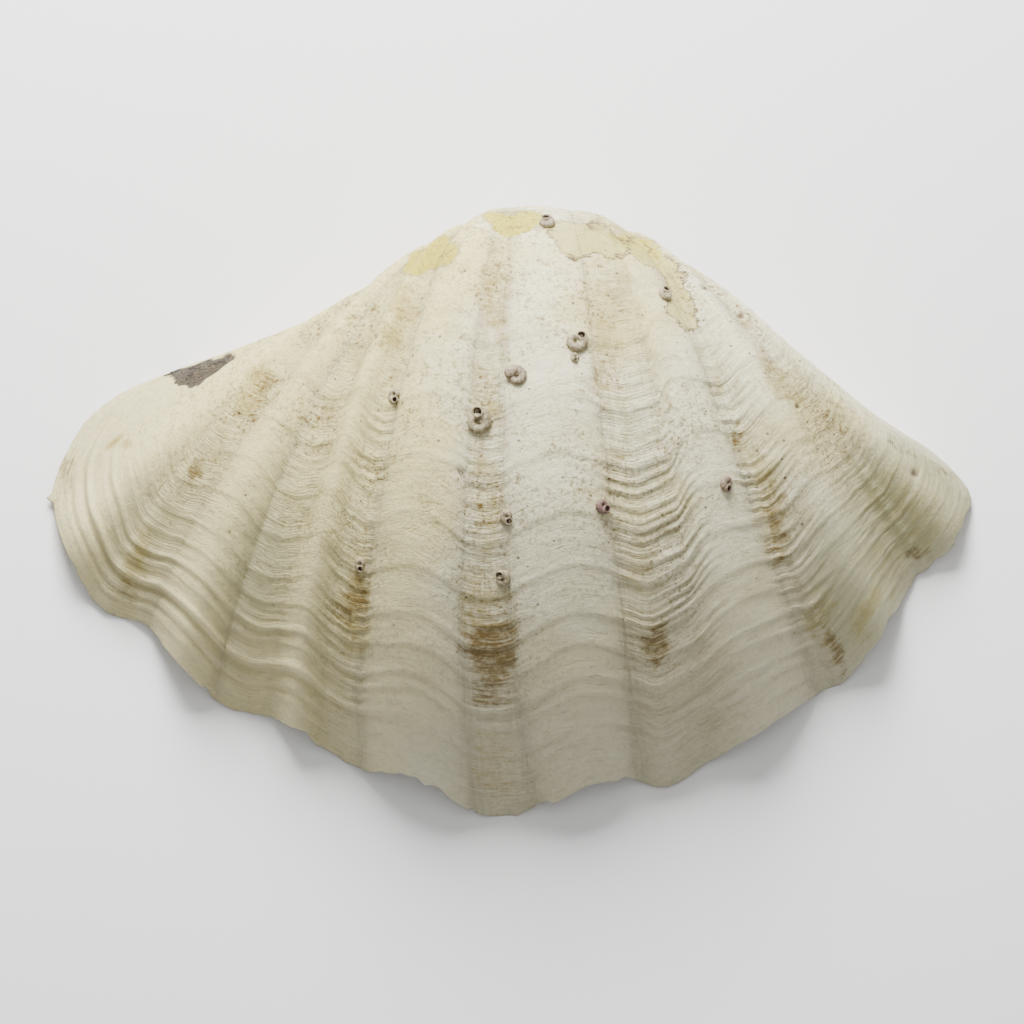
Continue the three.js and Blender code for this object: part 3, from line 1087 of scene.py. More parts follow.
    def stained(self, weave: GrowthWeave, colour: Value) -> Value:
        """Adds the stains, broken up along the growth lines.

        Args:
            weave: The patterns that follow the growth lines.
            colour: The colour so far.

        Returns:
            The colour with its stains.
        """
        plan = weave.plan
        rough = weave.fine * 0.40 + weave.middle * 0.35 + weave.grain * 0.45 - 0.6
        for look in self.stains:
            edge = plan.mask(look.kind.value) + rough * look.broken
            share = plan.ramp(edge, look.low_edge, look.high_edge) * look.strength
            colour = plan.layered(colour, ((share, look.tint),))
            if look.rim > 0.0:
                off = plan.math("ABSOLUTE", edge - look.low_edge)
                rim = (1.0 - plan.ramp(off, 0.0, self.rim_width)) * plan.ramp(weave.broad, 0.36, 0.50)
                colour = plan.layered(colour, ((rim * look.rim, self.pit),))
        return colour

    def specked(self, weave: GrowthWeave, colour: Value) -> Value:
        """Adds ochre dashes, and fine freckles in loose drifts.

        Args:
            weave: The patterns that follow the growth lines.
            colour: The colour so far.

        Returns:
            The colour.
        """
        plan, where = weave.plan, weave.where
        valley = plan.mask("valley")
        strewn = plan.ramp(plan.noise(where, self.dash_scale, 3.0), 0.44, 0.60)
        dashes = plan.ramp(weave.dash, 0.63, 0.72) * strewn
        fine = plan.ramp(plan.noise(where, self.freckle_scale, 3.0, 0.7), 0.54, 0.62)
        coarse = plan.ramp(plan.noise(where, self.spot_scale, 6.0, 0.75), 0.54, 0.64)
        drift = plan.ramp(plan.noise(where, self.drift_scale, 6.0, 0.7), 0.38, 0.58)
        upper = plan.ramp(plan.mask("age"), 0.92, 0.45) * 0.8 + 0.1
        return plan.layered(colour, (
            (dashes * (valley * 0.6 + 0.35) * 0.9, self.speck),
            ((fine * 0.75 + coarse * 0.75) * drift * (valley * 0.30 + 0.70) * upper, self.ochre),
        ))

    def pits(self, weave: GrowthWeave) -> Value:
        """Scatters small dark pits, fewer towards the margin.

        Args:
            weave: The patterns that follow the growth lines.

        Returns:
            The pits' mask.
        """
        plan = weave.plan
        cells = plan.feed(plan.node("ShaderNodeTexVoronoi"), Vector=weave.where, Scale=self.pit_scale)
        rare = plan.feed(plan.node("ShaderNodeSeparateColor"), Color=plan.take(cells, "Color"))
        small = plan.math("LESS_THAN", plan.take(cells, "Distance"), plan.take(rare, "Green") * self.pit_size)
        chosen = plan.math("GREATER_THAN", plan.take(rare, "Red"), self.pit_rarity)
        return small * chosen * plan.ramp(plan.mask("age"), 0.92, 0.62)


@dataclass(frozen=True)
class TubeFinish:
    """The grey-brown, ringed wall of a worm-snail tube, with its dark mouth: partly the tube's brown inside,
    partly painted shade for the depth below its shallow bottom.
    """

    wall: Colour = linear(166, 156, 124)
    shade: Colour = linear(116, 102, 74)
    purple: Colour = linear(104, 70, 72)
    mouth: Colour = linear(58, 36, 26)
    patch_scale: float = 420.0
    pore_scale: float = 900.0
    pore_depth: float = 0.0003

    def make(self) -> bpy.types.Material:
        """Builds the tubes' material.

        Returns:
            The material.
        """
        material, plan, shader = new_material("worm_tube_wall", 0.6)
        where = plan.where()
        plan.feed(shader, Base_Color=plan.layered(self.wall, (
            (plan.ramp(plan.noise(where, self.patch_scale, 6.0, 0.7), 0.42, 0.60), self.shade),
            (plan.mask("purple") * 0.75, self.purple),
            # The mouth's dark brown is partly the tube's brown inside, partly painted shade for its unlit
            # depth.
            (plan.mask("mouth"), self.mouth),
        )))
        plan.bumped(shader, plan.noise(where, self.pore_scale, 3.0) * self.pore_depth, 0.6)
        return material


@dataclass(frozen=True)
class CrustFinish:
    """The dark grey grains of old crust."""

    dark: Colour = linear(56, 48, 40)
    pale: Colour = linear(98, 88, 72)
    patch_scale: float = 180.0

    def make(self) -> bpy.types.Material:
        """Builds the crust's material.

        Returns:
            The material.
        """
        material, plan, shader = new_material("old_crust", 0.85)
        patch = plan.ramp(plan.noise(plan.where(), self.patch_scale), 0.4, 0.62)
        plan.feed(shader, Base_Color=plan.layered(self.dark, ((patch, self.pale),)))
        return material


@dataclass
class ValveShell:
    """The valve: its growth rule, its fine relief and its hollow. Millimetres until the mesh is made."""

    rule: GrowthRule = field(default_factory=GrowthRule)
    shift: tuple[float, float] = (25.5, 175.7943)
    hidden_rows: int = 20
    seen_rows: int = 252
    seen_from: float = 0.2
    ledges: tuple[float, ...] = (
        0.34, 0.43, 0.51, 0.59, 0.66, 0.73, 0.775, 0.82, 0.845, 0.89, 0.915, 0.955,
    )
    ledge_share: float = 0.48
    growth_length: float = 410.0
    cavity_centre: tuple[float, float] = (-10.0, -185.0)
    cavity_rows: int = 28
    flat_share: float = 0.45
    hinge_plate_rise: float = 7.0
    wall_at_rim: float = 19.0
    wall_at_roof: float = 24.0
    least_wall: float = 10.0
    side_slope: float = 3.2
    roof_rounding: float = 26.0
    least_rounding: float = 0.5
    cavity_crowding: float = 0.85
    least_smoothing: int = 3
    more_smoothing: int = 16
    smoothing_share: float = 0.75
    beak_depth: float = 9.0
    left_ridges: tuple[tuple[float, float, float], ...] = (
        (0.885, 2.1, 0.009), (0.925, 0.8, 0.006), (0.82, 0.6, 0.006),
    )
    first_ledge_length: float = 0.09
    ledge_fall: float = 0.007
    ledge_wander: Layers = ((0.007, 19, 46.0), (0.003, 20, 15.0))
    ridge_wander: Layers = ((0.006, 17, 45.0),)
    surface_lumps: Layers = ((1.2, 5, 62.0), (0.6, 7, 23.0), (0.30, 9, 9.0), (0.15, 13, 4.2))
    fibre_lumps: Layers = ((0.35, 15, 9.0),)
    margin_chips: Layers = ((0.6, 21, 34.0), (0.8, 22, 13.0), (0.6, 23, 7.0))
    stain_warp_x: Layers = ((8.0, 31, 22.0), (4.0, 32, 9.0))
    stain_warp_y: Layers = ((8.0, 33, 22.0), (4.0, 34, 9.0))
    lamella_sets: tuple[tuple[float, int, float, float], ...] = (
        (11.5, 41, 0.55, 0.2), (7.2, 43, 0.70, 0.15), (4.1, 45, 0.30, 0.0),
    )
    lamella_height: float = 1.25
    lamella_waver: float = 0.8
    lamella_flow: tuple[float, float] = (2.3, 9.0)
    lamella_patch: float = 24.0
    lamella_patch_stretch: float = 2.6
    fibre_stretch: float = 30.0
    crease_depth: float = 0.9
    hole_depth: float = 2.2
    margin_wear: float = 5.5
    spur_length: float = 5.0
    spur_width: float = 3.5
    groove_rows: int = 9
    full_groove: float = 0.45
    tooth_share: float = 0.75
    tooth_x: float = 40.0
    tooth_width: float = 16.0
    tooth_height: float = 1.65
    far_away: float = 1000.0
    upper_side: float = 20.0
    groove_line: tuple[tuple[float, float], tuple[float, float]] = ((-232.0, 103.0), (-312.0, 49.0))
    groove_depth: float = 1.8
    groove_width: float = 8.0
    stains: tuple[Stain, ...] = (
        Stain(StainKind.BROWN, -15, -126, 22, 32, 0.72),
        Stain(StainKind.BROWN, -14, -150, 20, 14, 0.5),
        Stain(StainKind.TAN, -20, -8, 14, 52, 0.42),
        Stain(StainKind.TAN, -25, -85, 20, 34, 0.42),
        Stain(StainKind.TAN, -12, 140, 12, 44, 0.4),
        Stain(StainKind.TAN, -20, 66, 14, 40, 0.34),
        Stain(StainKind.TAN, -13, -197, 20, 24, 0.34),
        Stain(StainKind.BROWN, 106, -117, 9, 18, 0.62),
        Stain(StainKind.TAN, 68, 107, 14, 60, 0.36),
        Stain(StainKind.TAN, 99, -54, 18, 46, 0.32),
        Stain(StainKind.BROWN, -119, -77, 14, 24, 0.55),
        Stain(StainKind.TAN, -119, -84, 18, 40, 0.4),
        Stain(StainKind.TAN, -86, 133, 13, 36, 0.5, -0.25),
        Stain(StainKind.TAN, -55, 182, 18, 20, 0.36),
        Stain(StainKind.BROWN, 199, -18, 10, 34, 0.5, 0.25),
        Stain(StainKind.BROWN, 172, 44, 7, 7, 0.62),
        Stain(StainKind.BROWN, 249, -109, 9, 20, 0.52, 0.3),
        Stain(StainKind.TAN, 190, 5, 14, 60, 0.42, 0.3),
        Stain(StainKind.TAN, 240, -92, 12, 34, 0.36, 0.3),
        Stain(StainKind.TAN, 208, 92, 12, 24, 0.46, 0.6),
        Stain(StainKind.TAN, -287, -40, 12, 26, 0.5, -0.3),
        Stain(StainKind.BROWN, -296, -66, 10, 12, 0.42),
        Stain(StainKind.BROWN, -341, 34, 8, 22, 0.5),
        Stain(StainKind.BROWN, -245, 23, 9, 9, 0.66),
        Stain(StainKind.TAN, -198, 84, 26, 9, 0.5, 0.85),
        Stain(StainKind.BROWN, -191, 80, 20, 5, 0.5, 0.85),
        Stain(StainKind.TAN, -302, 50, 9, 6, 0.72, 0.5),
        Stain(StainKind.BROWN, 196, 108, 9, 18, 0.42, 0.6),
        Stain(StainKind.TAN, 277, -78, 10, 26, 0.52, -0.4),
        Stain(StainKind.BROWN, 298, 48, 15, 4, 0.46, -0.5),
        Stain(StainKind.BROWN, -116, 132, 7, 7, 0.46),
        Stain(StainKind.BROWN, 334, 32, 16, 8, 0.6, -0.5),
        Stain(StainKind.BROWN, 314, -33, 11, 8, 0.56),
        Stain(StainKind.SAGE, -190, -51, 22, 46, 0.5, -0.3),
        Stain(StainKind.SAGE, -290, -20, 20, 50, 0.3, -0.3),
        Stain(StainKind.YELLOW, 4, 214, 24, 16, 0.62),
        Stain(StainKind.YELLOW, -63, 183, 26, 14, 0.6, 0.4),
        Stain(StainKind.FLAKE, 56, 196, 34, 17, 0.62, -0.3),
        Stain(StainKind.FLAKE, 104, 184, 26, 9, 0.6, -0.7),
        Stain(StainKind.FLAKE, 129, 150, 11, 28, 0.64, 0.4),
        Stain(StainKind.TAN, 70, 206, 22, 12, 0.4),
        Stain(StainKind.YELLOW, 96, 196, 30, 12, 0.42, -0.4),
        # The next four broad patches darken the right wing as a whole.
        Stain(StainKind.SAGE, 300, 6, 52, 56, 0.85, -0.4),
        Stain(StainKind.SAGE, 262, -62, 36, 54, 0.8, 0.3),
        Stain(StainKind.TAN, 286, -40, 26, 40, 0.34, 0.3),
        Stain(StainKind.TAN, 308, 4, 48, 44, 0.36, -0.4),
        Stain(StainKind.CRUST, -237, 106, 17, 8, 0.72, 0.35),
        Stain(StainKind.CRUST, -254, 101, 10, 6, 0.72),
        Stain(StainKind.CRUST, -221, 112, 9, 6, 0.6),
    )
    holes: tuple[tuple[float, float, float], ...] = (
        (308, 26, 3.2), (302, 50, 1.8), (-6, 125, 1.3), (217, 70, 1.6), (140, 173, 2.0), (147, 160, 1.8),
        (83, 103, 1.6), (60, 208, 3.0), (66, 206, 2.6), (-38, 9, 2.4), (174, 141, 2.6), (47, 178, 2.6),
    )

    def lamellae(self, distance: np.ndarray, across: np.ndarray, spacing: float, seed: int) -> np.ndarray:
        """Shapes one set of growth lamellae, uneven in spacing and in strength.

        Args:
            distance: Each point's growth distance from the umbo.
            across: Each point's distance along its growth line.
            spacing: The lamellae's mean spacing.
            seed: The seed of their unevenness.

        Returns:
            Heights between about -0.4 and 1.
        """
        flat = np.zeros_like(distance)
        flow = np.stack([distance / self.lamella_flow[0], across / self.lamella_flow[1], flat], axis=-1)
        phase = distance / spacing + self.lamella_waver * LatticeNoise(seed).at(flow, spacing)
        saw = phase - np.floor(phase)
        lip = saw ** 1.5 * (1.0 - smooth_step(0.80, 1.0, saw)) * 1.7 - 0.4
        patch = np.stack([distance, across / self.lamella_patch_stretch, flat], axis=-1)
        strength = np.clip(0.55 + 1.1 * LatticeNoise(seed + 1).at(patch, self.lamella_patch), 0.0, 1.5)
        return lip * strength

    def relief(
        self, points: np.ndarray, columns: Columns, shares: np.ndarray, across: np.ndarray
    ) -> np.ndarray:
        """Works out how far each point stands proud of the smooth growth surface.

        Args:
            points: The smooth surface's points.
            columns: The margin's columns.
            shares: Each point's share of the way from umbo to margin.
            across: Each point's distance along its growth line.

        Returns:
            The heights in millimetres.
        """
        height = np.zeros(shares.shape)
        age = shares + lumpy(points, self.ledge_wander)
        starts = (self.ledges[0] - self.first_ledge_length, *self.ledges)
        for low, high in zip(starts[:-1], starts[1:]):
            ramp = np.clip((age - low) / (high - low), 0.0, 1.0)
            fall = smooth_step(high, high + self.ledge_fall, age)
            ledge = np.where(shares < low, 0.0, ramp ** 3 * (1.0 - fall))
            height += ledge * columns.ledge * self.ledge_share
        left = smooth_step(-100.0, -200.0, columns.x)
        wander = lumpy(points, self.ridge_wander)
        for middle, tall, wide in self.left_ridges:
            away = (shares - middle - wander) / wide
            height += left * tall * (np.exp(-away ** 2) - 0.7 * np.exp(-(away - 2.2) ** 2))
        distance = shares * self.growth_length
        grown = smooth_step(0.24, 0.5, shares) * (1.0 - 0.4 * smooth_step(0.85, 0.97, shares))
        strong = smooth_step(1.0, 1.8, columns.lamella)
        fine = np.zeros(shares.shape)
        for spacing, seed, plain, less in self.lamella_sets:
            fine += self.lamellae(distance, across, spacing, seed) * (plain - less * strong)
        height += fine * columns.lamella * grown * self.lamella_height
        height += lumpy(points, self.surface_lumps)
        height -= self.crease_depth * columns.crease * smooth_step(0.18, 0.4, shares)
        fanned = across / np.maximum(shares, 0.15)
        radial = np.stack([distance / self.fibre_stretch, fanned, np.zeros_like(distance)], axis=-1)
        high_furrow = columns.furrow * (1.0 - smooth_step(0.45, 0.7, shares))
        height += lumpy(radial, self.fibre_lumps) * high_furrow
        place = points + np.array([*self.shift, 0.0])
        for x, y, radius in self.holes:
            away = np.hypot(place[..., 0] - x, place[..., 1] - y)
            bored = self.hole_depth * np.exp(-(away / radius) ** 2)
            height -= np.where(place[..., 2] > self.upper_side, bored, 0.0)
        height -= self.wing_groove(place)
        edge = smooth_step(0.975, 1.0, shares)
        return height * (1.0 - edge) * (1.0 - columns.hinge * 0.5)

    def wing_groove(self, place: np.ndarray) -> np.ndarray:
        """Gives the depth of the shallow groove along the left wing.

        Args:
            place: The points in the part's own millimetres.

        Returns:
            The groove's depth at each point.
        """
        (x, y), (end_x, end_y) = self.groove_line
        along_x, along_y = end_x - x, end_y - y
        length = math.hypot(along_x, along_y)
        dx, dy = place[..., 0] - x, place[..., 1] - y
        share = (dx * along_x + dy * along_y) / length ** 2
        off = np.abs(dx * along_y - dy * along_x) / length
        ends = smooth_step(-0.2, 0.3, share) * (1.0 - smooth_step(0.8, 1.3, share))
        depth = self.groove_depth * np.exp(-(off / self.groove_width) ** 2) * ends
        return np.where(place[..., 2] > 0.0, depth, 0.0)

    def outer(self, growth: GrowthTree) -> tuple[np.ndarray, np.ndarray, Columns, dict[str, np.ndarray]]:
        """Builds the outer face.

        Args:
            growth: The tree that lays the smooth surface.

        Returns:
            The smooth surface's points, the points with their relief, the columns and the masks.
        """
        columns = self.rule.columns()
        hidden = np.linspace(0.0, self.seen_from, self.hidden_rows, endpoint=False)
        seen = np.linspace(self.seen_from, 1.0, self.seen_rows)
        shares = np.repeat(np.concatenate([hidden, seen])[:, None], len(columns.x), axis=1)
        margin = np.stack([columns.x, columns.y, columns.rise], axis=-1)
        rough = lumpy(margin, self.margin_chips) * (1.0 - columns.hinge)
        wear = np.maximum(rough, 0.0) * self.margin_wear / self.growth_length
        shares = shares - wear * smooth_step(0.955, 1.0, shares)
        smooth = growth.smooth(columns, shares)
        steps = np.linalg.norm(margin - np.roll(margin, 1, axis=0), axis=1)
        along_margin = np.cumsum(steps)
        along = np.gradient(smooth, axis=0)
        beside = np.roll(smooth, -1, axis=1) - np.roll(smooth, 1, axis=1)
        outward = np.cross(along, beside)
        outward /= np.maximum(np.linalg.norm(outward, axis=-1, keepdims=True), 1e-9)
        height = self.relief(smooth, columns, shares, along_margin * shares)
        points = smooth + outward * height[..., None]
        to_end = np.linalg.norm(margin - margin[np.argmin(margin[:, 0])], axis=1)
        spur = np.exp(-(to_end / self.spur_width) ** 2)
        points[..., 0] -= self.spur_length * spur * smooth_step(0.982, 1.0, shares)
        points[..., 2] = np.maximum(points[..., 2], np.where(shares > 0.5, 0.0, -self.far_away))
        around = np.ones(self.groove_rows) / self.groove_rows
        mean = np.apply_along_axis(lambda column: np.convolve(column, around, mode="same"), 0, height)
        masks = {
            "age": shares,
            "distance": shares * self.growth_length,
            "across": np.broadcast_to(along_margin, shares.shape),
            "furrow": np.broadcast_to(columns.furrow, shares.shape),
            "crease": np.broadcast_to(columns.crease, shares.shape),
            "valley": np.broadcast_to(columns.valley, shares.shape),
            "groove": np.clip((mean - height) / self.full_groove, 0.0, 1.0),
            "facing": smooth_step(0.08, 0.32, outward[..., 2]),
        }
        return smooth, points, columns, masks

    def tree_of(self, points: np.ndarray) -> BVHTree:
        """Makes a search tree of the outer face, for heights over the plan.

        Args:
            points: The outer face's points.

        Returns:
            The tree.
        """
        flat = [tuple(point) for point in points.reshape(-1, 3)]
        return BVHTree.FromPolygons(flat, ring_faces(*points.shape[:2]))

    def height_over(self, tree: BVHTree, x: float, y: float) -> float:
        """Finds the outer face's height over a place in plan, or zero beside it."""
        hit = tree.ray_cast(Vector((x, y, 400.0)), Vector((0.0, 0.0, -1.0)))
        return hit[0].z if hit[0] is not None else 0.0

    def inner(self, outer: np.ndarray, columns: Columns, tree: BVHTree) -> list[np.ndarray]:
        """Builds the rim and the hollow.

        Args:
            outer: The outer face's points.
            columns: The margin's columns.
            tree: The outer face's search tree.

        Returns:
            The rings from the margin in to the middle of the hollow.
        """
        centre = np.array(self.cavity_centre)
        margin = outer[-1]
        rings = []
        rim, widest = self.rule.rim_width, self.rule.hinge_plate_width
        plate = np.clip((columns.inset - rim) / (widest - rim), 0, 1)
        for share in (0.06, 0.22, self.flat_share, self.tooth_share, 1.0):
            out = margin[:, :2] - centre
            length = np.linalg.norm(out, axis=1, keepdims=True)
            plan = centre + out * (length - columns.inset[:, None] * share) / length
            over = np.array([self.height_over(tree, x, y) for x, y in plan])
            inner_share = max(0.0, (share - self.flat_share) / (1.0 - self.flat_share))
            rise = margin[:, 2] + self.hinge_plate_rise * plate * inner_share
            tooth = np.exp(-((plan[:, 0] - self.tooth_x) / self.tooth_width) ** 2) * plate * self.tooth_height
            highest = np.where(share > 0.3, over - self.least_wall * share, self.far_away)
            lowered = tooth if share == self.tooth_share else 0.0
            rings.append(np.column_stack([plan, np.maximum(0.0, np.minimum(rise, highest) - lowered)]))
        edge = rings[-1]
        for share in np.linspace(1.0, 0.0, self.cavity_rows + 1)[1:-1] ** self.cavity_crowding:
            plan = centre + (edge[:, :2] - centre) * share
            inward = np.linalg.norm(edge[:, :2] - plan, axis=1)
            over = np.array([self.height_over(tree, x, y) for x, y in plan])
            roof = over - between(self.wall_at_roof, self.wall_at_rim, share)
            side = edge[:, 2] + self.side_slope * inward
            rounding = max(self.roof_rounding * (1.0 - share), self.least_rounding)
            part = np.clip(0.5 + 0.5 * (side - roof) / rounding, 0.0, 1.0)
            lid = side + (roof - side) * part - rounding * part * (1.0 - part)
            height = np.minimum(np.maximum(edge[:, 2], lid), over - self.least_wall)
            reach = int(self.least_smoothing + self.more_smoothing * (1.0 - share))
            kernel = np.ones(2 * reach + 1) / (2 * reach + 1)
            padded = np.concatenate([height[-reach:], height, height[:reach]])
            fade = self.smoothing_share * min(1.0, (1.0 - share) / 0.5)
            height = height + (np.convolve(padded, kernel, mode="valid") - height) * fade
            rings.append(np.column_stack([plan, height]))
        return rings

    def stain_mask(self, kind: StainKind, plan: np.ndarray) -> np.ndarray:
        """Adds up the patches of one colour.

        Args:
            kind: Which colour.
            plan: The points in the part's own millimetres.

        Returns:
            The strength at each point.
        """
        warped_x = plan[..., 0] + lumpy(plan, self.stain_warp_x)
        warped_y = plan[..., 1] + lumpy(plan, self.stain_warp_y)
        total = np.zeros(plan.shape[:-1])
        for stain in self.stains:
            if stain.kind is not kind:
                continue
            dx, dy = warped_x - stain.x, warped_y - stain.y
            turned_x = dx * math.cos(stain.turn) + dy * math.sin(stain.turn)
            turned_y = dy * math.cos(stain.turn) - dx * math.sin(stain.turn)
            away = (turned_x / stain.wide) ** 2 + (turned_y / stain.tall) ** 2
            total = np.maximum(total, stain.strength * np.exp(-0.9 * away * away))
        return total

    def build(self, material: bpy.types.Material) -> tuple[bpy.types.Object, BVHTree]:
        """Builds the whole valve as one closed mesh with its masks.

        Args:
            material: The shell's material.

        Returns:
            The object, and the outer face's search tree in millimetres before the shift.
        """
        growth = GrowthTree(self.rule, self.shift, material)
        smooth, outer, columns, masks = self.outer(growth)
        tree = self.tree_of(outer)
        inner = self.inner(outer, columns, tree)
        rows, count = outer.shape[:2]
        rings = np.concatenate([outer, np.stack(inner)])
        beak = outer[0].mean(axis=0) + np.array([0.0, -0.3, -0.2]) * self.beak_depth
        deepest = inner[-1].mean(axis=0)
        points = np.concatenate([rings.reshape(-1, 3), beak[None], deepest[None]])
        plan = points + np.array([*self.shift, 0.0])
        total = rings.shape[0]
        faces = ring_faces(total, count)
        first, last = total * count, total * count + 1
        for column in range(count):
            after = (column + 1) % count
            faces.append((first, after, column))
            faces.append((last, (total - 1) * count + column, (total - 1) * count + after))
        mesh = bpy.data.meshes.new("valve")
        mesh.from_pydata((plan * MM).tolist(), [], faces)
        inner_count = total - rows
        inside = np.ones((inner_count, count))
        inside[:3] = np.array([0.0, 0.15, 0.5])[:, None]
        outside = np.concatenate([np.ones((rows, count)), 1.0 - inside])
        surface = plan[: total * count].reshape(total, count, 3)
        values = {}
        for name, mask in masks.items():
            values[name] = np.concatenate([mask, np.repeat(mask[-1:], inner_count, axis=0)])
        outside = outside * values.pop("facing")
        values["furrow"] = values["furrow"] * outside
        values["inside"] = np.concatenate([np.zeros((rows, count)), inside])
        values["hole"] = self.hole_mask(surface) * outside
        for kind in StainKind:
            values[kind.value] = self.stain_mask(kind, surface) * outside
        for name, value in values.items():
            middles = [value[0].mean(), value[-1].mean()]
            write_numbers(mesh, name, np.concatenate([value.reshape(-1), middles]))
        made = bpy.data.objects.new("valve_shell", mesh)
        growth.run(made, columns, values["age"][:rows], (outer - smooth) * MM)
        turn_outward(made.data)
        return made, tree

    def hole_mask(self, surface: np.ndarray) -> np.ndarray:
        """Marks the small bored holes.

        Args:
            surface: The points in the part's own millimetres.

        Returns:
            The strength at each point.
        """
        total = np.zeros(surface.shape[:-1])
        for x, y, radius in self.holes:
            away = np.hypot(surface[..., 0] - x, surface[..., 1] - y)
            total = np.maximum(total, np.exp(-(away / radius) ** 4))
        return total


@dataclass(frozen=True)
class TubeRing:
    """One ring of a tube's wall: its middle, its two directions, its radius and its share of the mouth."""

    point: np.ndarray
    side: np.ndarray
    up: np.ndarray
    radius: float
    mouth: float


@dataclass
class WormTubes:
    """The worm-snail tubes cemented to the outer face. Millimetres, in the growth rule's own plan."""

    shift: tuple[float, float]
    sides: int = 20
    lengths: int = 46
    lift: float = 0.35
    rise_from: float = 0.8
    mouth_rise: float = 0.8
    mouth_tilt: float = 2.6
    inner_turns: float = 0.55
    inner_share: float = 0.3
    mouth_share: float = 0.72
    mouth_depth: float = 5.0
    seam: float = 0.001
    feeler: float = 4.0
    narrowest: float = 0.45
    ridge_height: float = 0.018
    ridge_step: float = 1.9
    swell_height: float = 0.02
    swell_step: float = 0.7
    specs: tuple[TubeSpec, ...] = (
        TubeSpec("coil_middle", -51, -129, 7.2, 4.4, 0.78, 3.0),
        TubeSpec("snail_closed", -22, -95, 5.6, 4.0, 0.78, 4.2, open_mouth=False, purple=0.35),
        TubeSpec("coil_upper", 22, -67, 6.0, 3.9, 0.78, 2.2),
        TubeSpec("coil_small", 22, -79, 2.6, 2.0, 0.7, 0.2),
        TubeSpec("coil_low", -33, -244, 4.2, 3.3, 0.74, 3.8),
        TubeSpec("coil_right", 89, -25, 4.2, 3.0, 0.74, 2.6),
        TubeSpec("coil_top", 0, 33, 4.6, 3.6, 0.72, 3.2, purple=0.3),
        TubeSpec("slit_left", -113, -106, 4.4, 2.6, 0.45, 2.2),
        TubeSpec("slit_middle", -29, -199, 3.8, 2.8, 0.6, 1.4, purple=0.2),
        TubeSpec("purple_middle", 42, -190, 3.8, 3.2, 0.6, 1.8, purple=1.0),
        TubeSpec("purple_right", 136, -170, 4.0, 3.2, 0.6, 1.0, purple=0.6),
        TubeSpec("slit_furrow", -139, -230, 3.4, 2.6, 0.6, 1.0, purple=0.2),
    )

    def path(
        self, spec: TubeSpec, shell: ValveShell, tree: BVHTree
    ) -> list[tuple[np.ndarray, float, np.ndarray]]:
        """Lays one tube's middle line on the shell.

        Args:
            spec: The tube.
            shell: The valve that it lies on.
            tree: The outer face's search tree.

        Returns:
            Each step's point and radius, with the shell's normal under the tube.
        """
        def at(dx: float, dy: float) -> np.ndarray:
            """Gives the outer face's point beside the tube's middle."""
            x, y = spec.x + dx, spec.y + dy
            return np.array([x, y, shell.height_over(tree, x, y)])

        middle = at(0, 0)
        along = at(self.feeler, 0) - at(-self.feeler, 0)
        along /= np.linalg.norm(along)
        upwards = at(0, self.feeler) - at(0, -self.feeler)
        normal = np.cross(along, upwards / np.linalg.norm(upwards))
        normal /= np.linalg.norm(normal)
        sideways = np.cross(normal, along)
        steps = []
        for place in range(self.lengths + 1):
            share = place / self.lengths
            turned = (share - 1.0) * (spec.turns + self.inner_turns) * 2 * math.pi
            angle = spec.start + spec.turns * 2 * math.pi + turned
            radius = spec.coil * between(self.inner_share, 1.0, share ** 0.8)
            last = min(1.0, max(0.0, (share - self.rise_from) / (1.0 - self.rise_from)))
            lift = spec.tube * (self.lift + self.mouth_rise * last * last)
            flat = along * radius * math.cos(angle) + sideways * radius * math.sin(angle)
            point = middle + flat + normal * lift
            ring = 1.0 + self.ridge_height * math.sin(place * self.ridge_step)
            ring += self.swell_height * math.sin(place * self.swell_step + spec.x)
            steps.append((point, spec.tube * between(self.narrowest, 1.0, share) * ring, normal))
        return steps

    def rings(self, spec: TubeSpec, shell: ValveShell, tree: BVHTree) -> list[TubeRing]:
        """Lists one tube's rings, from the coil's inside to the mouth's bottom.

        Args:
            spec: The tube.
            shell: The valve that it lies on.
            tree: The outer face's search tree.

        Returns:
            The rings, with one of no width at each end.
        """
        steps = self.path(spec, shell, tree)
        out: list[TubeRing] = []

        def add(place: int, radius: float, back: float, mouth: float) -> None:
            """Adds a ring of the tube's wall.

            Args:
                place: The ring's step on the path.
                radius: Its radius.
                back: How far it is set back along the path.
                mouth: Its share of the dark mouth.
            """
            point, _, normal = steps[place]
            forward = steps[min(place + 1, len(steps) - 1)][0] - steps[max(place - 1, 0)][0]
            forward /= np.linalg.norm(forward)
            side = np.cross(forward, normal)
            side /= np.linalg.norm(side)
            last = max(0.0, place / self.lengths - self.rise_from) / (1.0 - self.rise_from)
            forward = forward + normal * self.mouth_tilt * last ** 3
            forward /= np.linalg.norm(forward)
            out.append(TubeRing(point - forward * back, side, np.cross(side, forward), radius, mouth))

        add(0, 0.0, steps[0][1] * 0.2, 0.0)
        for place, step in enumerate(steps):
            add(place, step[1], 0.0, 0.0)
        end = len(steps) - 1
        radius = steps[end][1]
        bore = radius * self.mouth_share
        bottom = min(self.mouth_depth, radius * 1.1)
        open_end = (
            (radius * 0.93, -0.25, 0.0), (radius * 0.78, -0.30, 0.05), (bore, 0.1, 0.4),
            (bore * 0.92, 1.2, 1.0), (bore * 0.75, bottom, 1.0), (0.0, bottom, 1.0),
        )
        closed_end = ((radius * 0.86, -0.6, 0.0), (radius * 0.5, -1.2, 0.0), (0.0, -1.3, 0.0))
        for wide, back, mouth in open_end if spec.open_mouth else closed_end:
            add(end, wide, back, mouth)
        return out

